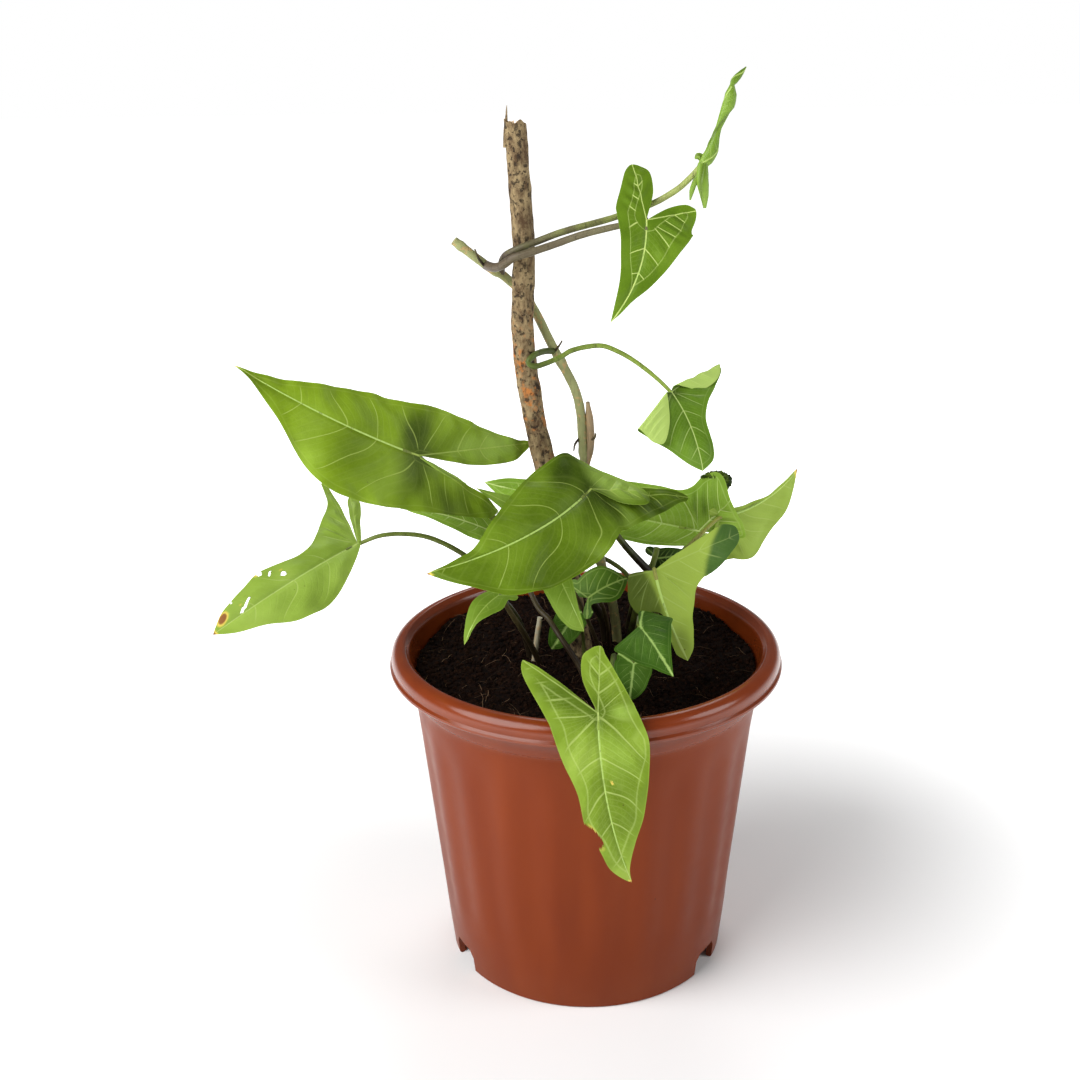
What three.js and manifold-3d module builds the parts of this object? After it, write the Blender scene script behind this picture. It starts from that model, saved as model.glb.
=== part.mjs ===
// Arrowhead plant (Syngonium) that climbs a cut branch in a fluted plastic pot.
// Millimetres, +Z up. The origin is the middle of the pot's resting face, and -Y is the front.

import * as THREE from "three";
import { mergeVertices } from "three/addons/utils/BufferGeometryUtils.js";
import Module from "manifold-3d";

const wasm = await Module();
wasm.setup();

// ---- Driving dimensions ----

const POT_HEIGHT = 172.4;
const RIM_RADIUS = 100; // widest circle of the rolled rim
const RIM_EDGE_HEIGHT = 163; // its sharp lower edge
const LIP_RADIUS = 92;
const COLLAR_FOOT = 150; // where the plain band under the rim ends
const FOOT_RADIUS = 72.3;
const WALL_TAPER = 0.105; // radius gained for each mm of height
const WALL = 2.4;
const FLOOR = 3;
const FLUTES = 22;
const FLUTE_DEPTH = 0.7;
const FIRST_RIDGE_DEG = -102.5; // a flute's ridge, counted from +X
const CHANNEL_HEIGHT = 13; // raised ring under the pot that leads water to the notches
const PAD_RADIUS = 58; // flat middle of the underside, inside the channel
const NOTCH_DEGS = [-153, -33, 87];
const NOTCH = { foot: 19, head: 13, height: 12.4 };
const DRAIN_HOLES = 6;
const DRAIN_RADIUS = 4.5;
const DRAIN_RING = 64.5;

const SOIL_HEIGHT = 160;
const SOIL_BACK_RISE = 4;
const SOIL_LUMP = 1.3;
const SOIL_FIT = 0.4; // gap to the pot
const STEM_FIT = 0.35; // gap to the hole that a stem stands in

const BLADE_THICKNESS = 0.8;
const STEM_SIDES = 5;

const STAKE_RADII = [5.7, 5.1];
const STAKE_ROUTE = [
  [4, 2, 84], [0, 2, 150], [-10, 1, 212], [-19.4, 0, 265], [-25.8, 0, 298],
  [-29.1, 0, 332], [-27.9, 0, 370], [-29.2, 0, 393], [-31, 0, 427.5],
];
const SPLINTER_ROUTE = [[-33, -1, 420], [-33.6, -1.5, 428], [-34.6, -2, 435.5]];

const VINE_RADII = [2.6, 2.1];
const VINE_ROUTE = [
  [18, 22, 132], [17.5, 22, 162], [14.5, 17.5, 186], [8, 12, 211], [2, 9, 249], [-0.3, 6.5, 271],
  [-1.7, 5, 290], [-4, 4, 301], [-9.6, 4, 313], [-14, 5, 321], [-21, 9, 335], [-27.5, 10.8, 346.5],
  [-35, 10, 354], [-39, 7, 358], [-44.6, 3, 362], [-52, 1, 368], [-60.5, 0, 375],
];
const STUB_ROUTE = [[1.4, 6.6, 267], [2.9, 6, 273], [2.6, 6, 283], [1.4, 5, 295]]; // a dead sheath on the vine

const SHOOT_RADII = [2, 1.5];
const SHOOT_ROUTE = [
  [24, 26, 146], [24, 24, 160], [25.8, 20, 172], [27.9, 15, 184.5], [30.7, 11, 195], [33.4, 8, 205],
  [35.9, 8, 213.6], [36.9, 9, 218],
];

const CUT_STALK_RADII = [1.6, 1.3];
const CUT_STALK_ROUTE = [[-28, 0, 146], [-26.5, 0, 158], [-25.2, 0, 168.6], [-23, 0, 184]];

// ---- Leaves ----
// A blade is drawn flat and then shaped. Its junction is where the stalk meets it, and faces is the
// way its upper side looks. Left and right are seen from above with the tip ahead, and a pair is
// [left, right]. left and right hold the half widths at STATIONS along the midrib. A lobe is [reach,
// degrees from the tip's direction, width outside its middle line, width inside it]. arch lifts the
// middle of the blade, sweep bows its midrib to the left, fold lifts a half about it and ripple waves
// the margin. A bend [direction, start, turn, radius] rolls up what lies out beyond a straight line.

const STATIONS = [0, 0.2, 0.4, 0.6, 0.75, 0.9]; // shares of the way to the tip
const LARGE_BLADE = 80; // a longer blade is drawn finer

const LEAVES = [
  {
    name: "leaf_upper_left",
    junction: [-78, -40, 283], tip: [-155, -62, 332], faces: [0.3, -0.82, 0.45],
    left: [26.7, 30, 29.5, 20, 10, 2.6], right: [24.6, 21.3, 17.8, 12, 6.6, 2],
    lobes: [[53, 176, 8, 2.5], [66.5, 148, 3, 8]],
    arch: 6, sweep: 4, ripple: 0.8,
    stalkRadius: 1.8,
    stalk: [[12, 25, 150], [10, 21, 172], [5, 16, 185], [-4, 12, 202], [-14, 8, 213], [-30, 2, 226],
      [-49, -6, 243], [-66, -20, 262]],
  },
  {
    name: "leaf_front",
    junction: [2, -32, 263], tip: [-73, -85, 242], faces: [0.1, -0.75, 0.6],
    left: [25, 28, 27.3, 25, 20.5, 10], right: [19.5, 24.5, 21.5, 13.5, 5, 1.5],
    lobes: [[57, 157, 5, 4], [46, 160, 8, 5]],
    arch: 8, sweep: 8, ripple: 0.8, bend: [null, [150, 6, -38, 20]],
    stalkRadius: 1.7, joins: "shoot",
    stalk: [[33.4, 8, 204.9], [24.7, 0, 217], [17, -8, 229], [9, -20, 245]],
  },
  {
    name: "leaf_lower_left",
    junction: [-111, -20, 233], tip: [-170, -85, 214], faces: [0.05, -0.75, 0.65],
    left: [2, 12.5, 19.5, 18.5, 11.5, 6], right: [20, 13.5, 9.8, 12.3, 9.5, 5.6],
    lobes: [[30, 235, 3.5, 0.8], [38, 105, 5, 2.5]],
    arch: 4, sweep: 0, ripple: 0.5,
    stalkRadius: 1.4,
    stalk: [[-28, 8, 148], [-29, 7, 162], [-34, 2, 182], [-43, -6, 199], [-50, -10, 211],
      [-59, -11, 222], [-76, -14, 233], [-88, -16, 236], [-100, -18, 236]],
  },
  {
    name: "leaf_over_rim",
    junction: [2.5, -98, 178.7], tip: [17.3, -116, 101.4], faces: [0.1, -0.95, 0.3],
    left: [17, 22.4, 19.8, 13.3, 7, 2.6], right: [22.5, 15.5, 10.5, 8.7, 6.5, 6.5],
    lobes: [[29, 164, 3, 8], [40, 136, 7, 1.5]],
    arch: 7, sweep: -4.5, ripple: 0.4,
    stalkRadius: 1.6,
    stalk: [[14, -2, 148], [14.5, -6, 163], [13, -30, 173], [10, -55, 177], [6, -80, 179]],
  },
  {
    name: "leaf_right",
    junction: [68.3, 8, 235], tip: [109, 22, 254.3], faces: [-0.2, 0.9, 0.3],
    left: [31, 32, 26.5, 20, 15.3, 7.6], right: [12, 26, 5, 3.5, 3, 2],
    lobes: [[36, 120, 8, 3], [8, 130, 2, 2]],
    arch: 0, sweep: 6, ripple: 0.8,
    stalkRadius: 1.5,
    stalk: [[31, 22, 148], [32, 20, 166], [35, 14, 185], [40, 6, 204], [46, 0, 214.6], [52, -3, 223],
      [58, -2, 229]],
  },
  {
    name: "leaf_right_hanging",
    junction: [32, -35, 222.5], tip: [47.4, -52, 182.5], faces: [-0.35, 0.8, -0.1],
    left: [17, 16, 12, 7, 3, 1], right: [19, 22, 16, 12, 9, 3],
    lobes: [[14, 96, 3, 2], [48, 91, 11, 6]],
    arch: 4, sweep: 0, ripple: 0.4, fold: [40, 0],
    stalkRadius: 1.4,
    stalk: [[40, 12, 148], [39, 8, 165], [36, -5, 189], [36, -22, 210]],
  },
  {
    name: "leaf_middle_right",
    junction: [41.4, -8, 303.2], tip: [54.3, -34, 271.6], faces: [0.35, -0.7, 0.5],
    left: [18, 14, 10, 8.7, 8.5, 6.5], right: [18, 17.5, 16, 14.5, 13, 7.5],
    lobes: [[33, 120, 5, 5], [40, 140, 7, 6]],
    arch: 3, sweep: 1, ripple: 0.3, bend: [[185, 2, 150, 3], [150, 2, 150, 3]],
    stalkRadius: 1.3, joins: "vine",
    stalk: [[-14, 5, 321], [-20, -3, 322.5], [-24.5, -7.8, 321.5], [-26.8, -9.4, 319], [-24.5, -9.5, 317],
      [-18.8, -8.4, 318], [-11, -5, 320.5], [-6, -3.5, 323], [8, -3, 325], [15.5, -4, 322.5],
      [23.5, -5, 318], [34, -7, 310]],
  },
  {
    name: "leaf_top",
    junction: [28, -15, 385.4], tip: [11, -30, 341.5], faces: [0.1, -0.9, 0.3],
    left: [22.4, 16.3, 11.5, 6.8, 3, 1.2], right: [15, 12.5, 10, 7, 5, 2.2],
    lobes: [[24, 124, 8, 1], [27, 150, 4, 6.5]],
    arch: 4, sweep: 4.2, ripple: 0.4,
    stalkRadius: 1.8, joins: "vine",
    stalk: [[-46, 2.6, 363], [-43.5, -2.5, 363], [-40.6, -6.5, 363.5], [-37.2, -10.5, 365.5],
      [-33, -13.5, 368.8], [-26, -14, 371], [-14, -13, 374.6], [-1, -13.5, 379], [16, -14.5, 383]],
  },
  {
    name: "leaf_small_variegated",
    junction: [24, -54, 194.2], tip: [41, -69, 183.7], faces: [0.1, -0.6, 0.8],
    left: [14, 13.5, 9, 4.5, 2.5, 1.5], right: [15, 15.5, 12, 9, 7, 4],
    lobes: [[14, 105, 2, 2], [16, 108, 2, 2]],
    arch: 2, sweep: 0, ripple: 0.3,
    stalkRadius: 1,
    stalk: [[26, 12, 148], [26, 8, 163], [26, -12, 182], [25, -35, 192]],
  },
  {
    name: "leaf_low_variegated",
    junction: [21.3, -54, 182.4], tip: [18.8, -64, 167.6], faces: [0, -0.8, 0.6],
    left: [9, 9, 8, 7, 5.5, 3], right: [9, 9, 8, 7, 5.5, 3],
    lobes: [[9, 120, 3, 2], [9, 120, 3, 2]],
    arch: 2, sweep: 0, ripple: 0.3,
    stalkRadius: 1,
    stalk: [[21, 2, 148], [21, -2, 163], [21, -22, 174], [21, -40, 180.5]],
  },
  {
    name: "leaf_under_front",
    junction: [-17, -50, 234], tip: [-2.5, -62, 203], faces: [0, -0.9, 0.3],
    left: [6, 5.5, 4.5, 3, 2, 1.2], right: [8, 9.3, 9, 8.5, 7.5, 5],
    lobes: [[12, 120, 3, 2], [12, 120, 3, 2]],
    arch: 2, sweep: 0, ripple: 0.3,
    stalkRadius: 1.1,
    stalk: [[10, 2, 148], [9, -2, 160], [4.7, -10, 176.8], [-1.4, -20, 195.7], [-5.3, -30, 208], [-11, -41, 221]],
  },
  {
    name: "leaf_curled",
    junction: [-42, -50, 217], tip: [-58, -70, 200.5], faces: [0, -0.7, 0.7],
    left: [5, 7, 5, 2, 1, 0.8], right: [5, 6, 6, 4.5, 3, 1.6],
    lobes: [[9, 120, 2, 2], [8, 120, 2, 2]],
    arch: 3, sweep: -2, ripple: 0.3,
    stalkRadius: 1.5,
    stalk: [[-19, 1, 146], [-22.5, -5, 158], [-27, -12, 172.5], [-31.6, -22, 186], [-38, -37, 204]],
  },
  {
    name: "leaf_under_variegated",
    junction: [0.5, -30, 206.7], tip: [19.6, -25, 214.4], faces: [0, -0.65, 0.75],
    left: [11, 12, 12, 11, 8.5, 4], right: [4, 6, 8.5, 8.5, 6.5, 3.5],
    lobes: [[14, 110, 3, 3], [10, 120, 2, 2]],
    arch: 3, sweep: 0, ripple: 0.3,
    stalkRadius: 1.1,
    stalk: [[13, 16, 148], [12.5, 12, 170], [9, 2, 189], [5, -12, 199]],
  },
  {
    name: "leaf_behind_shoot",
    junction: [38, 13, 210.5], tip: [56, 17, 211.5], faces: [0.1, -0.95, 0.3],
    left: [5, 5, 4.5, 3.5, 2.5, 1.5], right: [6, 6, 5.5, 4.5, 3.5, 2],
    lobes: [[8, 130, 2, 2], [8, 130, 2, 2]],
    arch: 2, sweep: 0, ripple: 0.3,
    stalkRadius: 1, joins: "shoot",
    stalk: [[33.4, 8, 205], [35.5, 10.5, 210]],
  },
  {
    name: "leaf_pale_variegated",
    junction: [58.3, 12, 225.3], tip: [-51, 36, 245.3], faces: [0, -1, 0.08],
    left: [8, 12, 12, 11, 9, 5.5], right: [21, 19, 17, 11.5, 8, 5],
    lobes: [[12, 110, 3, 2], [24, 105, 4, 3]],
    arch: 4, sweep: 0, ripple: 1,
    stalkRadius: 1.5,
    stalk: [[36, 32, 148], [36, 30, 164], [40, 27, 181], [46, 24.5, 199], [54, 21, 215]],
  },
  {
    name: "leaf_back_left",
    junction: [-12, 14, 227], tip: [-54.2, 14, 249.3], faces: [0, -0.95, 0.3],
    left: [10, 9, 7, 4.5, 2.8, 1.2], right: [10, 9, 7, 4.5, 2.8, 1.2],
    lobes: [[9, 140, 2, 2], [9, 140, 2, 2]],
    arch: 4, sweep: 0, ripple: 0.5,
    stalkRadius: 1.3,
    stalk: [[24, 36, 148], [24, 34, 164], [26, 24, 185], [22, 18, 200], [14, 17.5, 207],
      [5, 18, 212], [-4, 17, 219]],
  },
  {
    name: "leaf_below_upper_left",
    junction: [-42, 12, 224], tip: [-90, -5, 246], faces: [0, -0.6, 0.8],
    left: [8, 9, 8, 6, 4, 2], right: [10, 10, 9, 7, 4.5, 2],
    lobes: [[14, 140, 3, 3], [16, 140, 3, 3]],
    arch: 4, sweep: 0, ripple: 0.5,
    stalkRadius: 1.4,
    stalk: [[2, -36, 148], [0, -34, 161], [-4.5, -30, 171.6], [-13.7, -24, 184.7], [-19, -14, 189.5],
      [-23.5, -10, 193], [-27.4, -6, 200], [-34, 3, 212]],
  },
  {
    name: "leaf_low_dark",
    junction: [-5.3, -9.5, 190.6], tip: [-17.5, -10.5, 171], faces: [0.1, -0.9, 0.3],
    left: [8, 8, 7.5, 6.5, 5, 3], right: [8, 8, 7.5, 6.5, 5, 3],
    lobes: [[9, 120, 3, 2], [9, 120, 3, 2]],
    arch: 2, sweep: 0, ripple: 0.3,
    stalkRadius: 1,
    stalk: [[-1, -10, 148], [-1, -10, 160], [-1.5, -8.5, 178]],
  },
];

// The young leaf is still rolled round its midrib, with the ends of its two lobes hanging free.
const YOUNG_ROUTE = [
  [51.8, -12, 406], [54.3, -12, 411.3], [56.8, -12, 416.5], [59, -12, 422.5], [61.4, -12, 429.4],
  [64, -12, 435.8], [66, -12, 440.5], [68.5, -11, 445.5], [71.8, -10, 451],
];
const YOUNG_RADII = [2.4, 3.3, 3.3, 1.8, 2.3, 3.2, 2.4, 1.7, 0.4];
const YOUNG_LOBES = [
  { route: [[54, -12.5, 409], [55.3, -13.5, 400], [55.8, -14, 390]], radii: [2.2, 2.4, 0.8] },
  { route: [[51.5, -12, 408], [49.5, -12.5, 399], [48, -12, 390.6]], radii: [1.5, 1.5, 0.7] },
];
const YOUNG_STALK_RADII = [1.7, 1.4];
const YOUNG_STALK = [
  [-39, 7, 358], [-38.5, 1, 364], [-37, -4.5, 368], [-34.3, -8.5, 370.5], [-29, -10, 373],
  [-21.4, -9.4, 375.7], [-10.3, -9, 379.6], [14, -6.5, 385.6], [32, -5, 391.6], [42.4, -8, 398],
  [47.7, -11, 403.2], [52.5, -12, 408.5],
];

// ---- Closed surfaces ----

function closedMesh(points, triangles) {
  const geometry = new THREE.BufferGeometry();
  geometry.setAttribute("position", new THREE.Float32BufferAttribute(points.flat(), 3));
  geometry.setIndex(triangles.flat());
  return geometry;
}

function toSolid(geometry) {
  const bare = geometry.clone();
  bare.deleteAttribute("normal");
  bare.deleteAttribute("uv");
  const merged = mergeVertices(bare, 1e-4);
  return new wasm.Manifold(
    new wasm.Mesh({
      numProp: 3,
      vertProperties: new Float32Array(merged.attributes.position.array),
      triVerts: new Uint32Array(merged.index.array),
    }),
  );
}

function toGeometry(solid) {
  const { numProp, vertProperties, triVerts } = solid.getMesh();
  const points = [];
  for (let i = 0; i < vertProperties.length; i += numProp) {
    points.push([...vertProperties.subarray(i, i + 3)]);
  }
  return closedMesh(points, [...triVerts]);
}

// Rings of equal count, joined in order and closed at both ends by a fan to a middle point.
function ringMesh(rings, firstMiddle, lastMiddle) {
  const count = rings[0].length;
  const points = [firstMiddle, ...rings.flat(), lastMiddle];
  const last = points.length - 1;
  const at = (ring, step) => 1 + ring * count + (step % count);
  const triangles = [];
  for (let step = 0; step < count; step++) {
    triangles.push([0, at(0, step + 1), at(0, step)]);
    for (let ring = 0; ring + 1 < rings.length; ring++) {
      const [a, b] = [at(ring, step), at(ring, step + 1)];
      const [c, d] = [at(ring + 1, step + 1), at(ring + 1, step)];
      triangles.push([a, b, c], [a, c, d]);
    }
    triangles.push([last, at(rings.length - 1, step), at(rings.length - 1, step + 1)]);
  }
  return closedMesh(points, triangles);
}

// ---- Pot and soil ----

const wallRadius = (height) => FOOT_RADIUS + WALL_TAPER * height;

// A solid turned round Z from [radius, height, flute depth] rows that run from the underside's
// middle out, up and back in. Every second segment starts in the hollow of a flute.
function turned(rows, segments, raise = () => 0) {
  const rings = rows.map(([radius, height, depth = 0]) =>
    Array.from({ length: segments }, (_, step) => {
      const angle = THREE.MathUtils.degToRad(FIRST_RIDGE_DEG + (360 / segments) * step);
      const reach = radius - (step % 2 ? depth : 0);
      const x = reach * Math.cos(angle);
      const y = reach * Math.sin(angle);
      return [x, y, height + raise(x, y, height)];
    }),
  );
  return ringMesh(rings, [0, 0, rows[0][1]], [0, 0, rows.at(-1)[1] + raise(0, 0, rows.at(-1)[1])]);
}

const innerWall = (height) => wallRadius(height) - WALL - 0.6;
const CHANNEL_TOP = CHANNEL_HEIGHT + FLOOR;
const INNER_NECK = 87.4; // the wall inside the rim, at the soil

function potShell() {
  const collar = wallRadius(COLLAR_FOOT) + 0.4;
  return turned([
    [PAD_RADIUS, 0], [PAD_RADIUS + 1.5, CHANNEL_HEIGHT], [wallRadius(CHANNEL_HEIGHT) - WALL - 0.4, CHANNEL_HEIGHT],
    [FOOT_RADIUS - WALL - 0.6, 0], [FOOT_RADIUS, 0],
    [wallRadius(26), 26, 0], [wallRadius(44), 44, FLUTE_DEPTH], [wallRadius(126), 126, FLUTE_DEPTH],
    [wallRadius(143), 143, 0], [wallRadius(COLLAR_FOOT) - 0.5, COLLAR_FOOT - 1],
    [collar + 0.8, COLLAR_FOOT], [collar + 1.8, RIM_EDGE_HEIGHT - 2],
    [RIM_RADIUS - 1.6, RIM_EDGE_HEIGHT - 1.2], [RIM_RADIUS, RIM_EDGE_HEIGHT],
    [RIM_RADIUS - 0.9, RIM_EDGE_HEIGHT + 2.6], [RIM_RADIUS - 2.8, RIM_EDGE_HEIGHT + 6],
    [RIM_RADIUS - 5.2, POT_HEIGHT - 1], [LIP_RADIUS + 1, POT_HEIGHT], [LIP_RADIUS - 0.6, POT_HEIGHT - 1],
    [LIP_RADIUS - 2.6, POT_HEIGHT - 5], [INNER_NECK, SOIL_HEIGHT - 2],
    [innerWall(CHANNEL_TOP), CHANNEL_TOP], [PAD_RADIUS, CHANNEL_TOP], [PAD_RADIUS - 1.6, FLOOR],
  ], 2 * FLUTES);
}

// A notch in the skirt with slanted top corners, as a prism that runs out through the wall.
function notchPrism(degrees) {
  const outline = new THREE.Shape([
    new THREE.Vector2(-NOTCH.foot / 2, -1), new THREE.Vector2(NOTCH.foot / 2, -1),
    new THREE.Vector2(NOTCH.foot / 2, NOTCH.height - 4), new THREE.Vector2(NOTCH.head / 2, NOTCH.height),
    new THREE.Vector2(-NOTCH.head / 2, NOTCH.height), new THREE.Vector2(-NOTCH.foot / 2, NOTCH.height - 4),
  ]);
  const prism = new THREE.ExtrudeGeometry(outline, { depth: 20, bevelEnabled: false });
  prism.rotateX(Math.PI / 2).translate(0, FOOT_RADIUS + 14, 0);
  return toSolid(prism.rotateZ(THREE.MathUtils.degToRad(degrees - 90)));
}

function drainHole(index) {
  const angle = THREE.MathUtils.degToRad(NOTCH_DEGS[0]) + (2 * Math.PI * index) / DRAIN_HOLES;
  const hole = new THREE.CylinderGeometry(DRAIN_RADIUS, DRAIN_RADIUS, 3 * FLOOR, 8);
  hole.rotateX(Math.PI / 2).translate(DRAIN_RING, 0, CHANNEL_HEIGHT + FLOOR / 2);
  return toSolid(hole.rotateZ(angle));
}

function pot() {
  let shell = toSolid(potShell());
  for (const degrees of NOTCH_DEGS) shell = shell.subtract(notchPrism(degrees));
  for (let index = 0; index < DRAIN_HOLES; index++) shell = shell.subtract(drainHole(index));
  return toGeometry(shell);
}

const soilLumps = (x, y) => SOIL_LUMP * Math.sin(x / 9 + 1) * Math.cos(y / 11 + x / 30);
const soilRise = (y) => SOIL_BACK_RISE * THREE.MathUtils.smoothstep(y, 0, 80);

function soilBody() {
  const top = (x, y, height) => (height < SOIL_HEIGHT - 1 ? 0 : soilLumps(x, y) + soilRise(y));
  return turned(
    [
      [PAD_RADIUS - 2.2, FLOOR + SOIL_FIT], [PAD_RADIUS - 0.5, CHANNEL_TOP + SOIL_FIT],
      [innerWall(CHANNEL_TOP) - SOIL_FIT, CHANNEL_TOP + SOIL_FIT],
      [INNER_NECK - SOIL_FIT - 0.3, SOIL_HEIGHT - 4], [INNER_NECK - 1.2, SOIL_HEIGHT - 0.6],
      [64, SOIL_HEIGHT], [36, SOIL_HEIGHT],
    ],
    FLUTES,
    top,
  );
}

// ---- Stems ----

const toVectors = (route) => route.map((point) => new THREE.Vector3(...point));

// A round stem along a route, its radius read evenly from the list of radii.
function stemMesh(route, radii, { sides = STEM_SIDES, steps = Math.ceil(1.4 * route.length), rough = 0 } = {}) {
  const curve = new THREE.CatmullRomCurve3(toVectors(route), false, "centripetal");
  const frames = curve.computeFrenetFrames(steps);
  const rings = [];
  for (let step = 0; step <= steps; step++) {
    const share = step / steps;
    const place = share * (radii.length - 1);
    const from = Math.min(Math.floor(place), radii.length - 2);
    const radius = THREE.MathUtils.lerp(radii[from], radii[from + 1], place - from);
    const middle = curve.getPointAt(share);
    rings.push(
      Array.from({ length: sides }, (_, side) => {
        const angle = (2 * Math.PI * side) / sides;
        const knob = radius + rough * Math.sin(7.3 * step + 2.1 * side) * Math.sin(2.7 * step - side);
        const spoke = frames.normals[step].clone().multiplyScalar(knob * Math.cos(angle));
        spoke.addScaledVector(frames.binormals[step], knob * Math.sin(angle));
        return spoke.add(middle).toArray();
      }),
    );
  }
  return ringMesh(rings, curve.getPointAt(0).toArray(), curve.getPointAt(1).toArray());
}

// A stem grown by extra all round, and at its foot as well.
function stemSolid(route, radii, extra, options) {
  const [foot, next] = toVectors(route.slice(0, 2));
  foot.addScaledVector(next.sub(foot).normalize(), -extra);
  const grown = radii.map((radius) => radius + extra);
  return toSolid(stemMesh([foot.toArray(), ...route.slice(1)], grown, options));
}

const stakeSolid = (extra = 0) =>
  stemSolid(STAKE_ROUTE, STAKE_RADII, extra, { sides: 10, steps: 24, rough: extra ? 0 : 0.35 }).add(
    stemSolid(SPLINTER_ROUTE, [1.6, 1, 0.3], extra),
  );

const vineSolid = (extra = 0) =>
  stemSolid(VINE_ROUTE, VINE_RADII, extra, { sides: 7, steps: 34 }).add(
    stemSolid(STUB_ROUTE, [1.6, 2.1, 2.1, 1.4], extra),
  );

const shootSolid = (extra = 0) => stemSolid(SHOOT_ROUTE, SHOOT_RADII, extra);
const cutStalkSolid = (extra = 0) => stemSolid(CUT_STALK_ROUTE, CUT_STALK_RADII, extra);

// ---- Blades ----

// One half's outline, flat, from the tip back round the lobe to the sinus beside the stalk.
function halfOutline(leaf, length, side) {
  const widths = side ? leaf.right : leaf.left;
  const [reach, degrees, outside, inside] = leaf.lobes[side];
  const spread = THREE.MathUtils.degToRad(degrees);
  const along = [Math.cos(spread), Math.sin(spread)];
  const outward = [Math.sin(spread), -Math.cos(spread)];
  const onLobe = (far, wide) => [
    far * reach * along[0] + wide * outward[0],
    far * reach * along[1] + wide * outward[1],
  ];
  const shoulder = onLobe(0.85, outside);
  const outline = [
    [length, 0],
    ...STATIONS.map((share, index) => [share * length, widths[index]]).reverse(),
    [shoulder[0] / 2, (widths[0] + shoulder[1]) / 2],
    shoulder, onLobe(1, 0), onLobe(0.8, -inside), onLobe(0.45, -0.9 * inside), [0, 0],
  ];
  return outline.map(([u, v]) => new THREE.Vector2(u, side ? -v : v));
}

// The blade's own axes: towards the tip, to the left and up out of the upper face.
function bladeAxes(leaf) {
  const junction = new THREE.Vector3(...leaf.junction);
  const ahead = new THREE.Vector3(...leaf.tip).sub(junction);
  const length = ahead.length();
  ahead.normalize();
  const up = new THREE.Vector3(...leaf.faces);
  up.addScaledVector(ahead, -up.dot(ahead)).normalize();
  return { junction, length, ahead, up, left: up.clone().cross(ahead) };
}

// Rolls what lies beyond a bend's line round its radius and then straight on.
function bent(bend, side, u, v) {
  const [direction, start, turn, radius] = bend;
  const angle = THREE.MathUtils.degToRad(side ? -direction : direction);
  const out = u * Math.cos(angle) + v * Math.sin(angle) - start;
  if (out <= 0) return [u, v, 0];
  const whole = THREE.MathUtils.degToRad(Math.abs(turn));
  const rolled = Math.min(out / radius, whole);
  const straight = out - rolled * radius;
  const drawn = radius * Math.sin(rolled) + straight * Math.cos(whole) - out;
  const lift = radius * (1 - Math.cos(rolled)) + straight * Math.sin(whole);
  return [u + drawn * Math.cos(angle), v + drawn * Math.sin(angle), Math.sign(turn) * lift];
}

// A flat point of the blade, taken to where it stands in space.
function shaped(leaf, axes, u, v) {
  const side = v < 0 ? 1 : 0;
  const bend = leaf.bend?.[side];
  const [along, across, rise] = bend ? bent(bend, side, u, v) : [u, v, 0];
  const share = u / axes.length;
  const hump = share > 0 ? 4 * share * (1 - share) : 4 * share;
  const wave = leaf.ripple * Math.min((v / 15) ** 2, 2) * Math.sin(9 * share + 2 * side + axes.length);
  const fold = THREE.MathUtils.degToRad(leaf.fold?.[side] ?? 0) * (side ? -1 : 1);
  const y = across * Math.cos(fold) - (rise + wave) * Math.sin(fold) + leaf.sweep * Math.max(hump, 0);
  const z = across * Math.sin(fold) + (rise + wave) * Math.cos(fold) + leaf.arch * hump;
  return axes.junction.clone().addScaledVector(axes.ahead, along).addScaledVector(axes.left, y)
    .addScaledVector(axes.up, z);
}

function shapedNormal(leaf, axes, u, v) {
  const step = 0.05;
  const inner = v - Math.sign(v) * step;
  const alongU = shaped(leaf, axes, u + step, v).sub(shaped(leaf, axes, u - step, v));
  const alongV = v
    ? shaped(leaf, axes, u, v).sub(shaped(leaf, axes, u, inner)).multiplyScalar(Math.sign(v))
    : shaped(leaf, axes, u, step).sub(shaped(leaf, axes, u, -step));
  return alongU.cross(alongV).normalize();
}

// Triangles of one face of the blade: a fan round the junction, then bands out to the margin.
function faceTriangles(rings, count, at) {
  const face = [];
  for (let spoke = 0; spoke + 1 < count; spoke++) {
    face.push([0, at(1, spoke), at(1, spoke + 1)]);
    for (let ring = 1; ring < rings; ring++) {
      const [a, b] = [at(ring, spoke), at(ring + 1, spoke)];
      const [c, d] = [at(ring + 1, spoke + 1), at(ring, spoke + 1)];
      face.push([a, b, c], [a, c, d]);
    }
  }
  return face;
}

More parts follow.
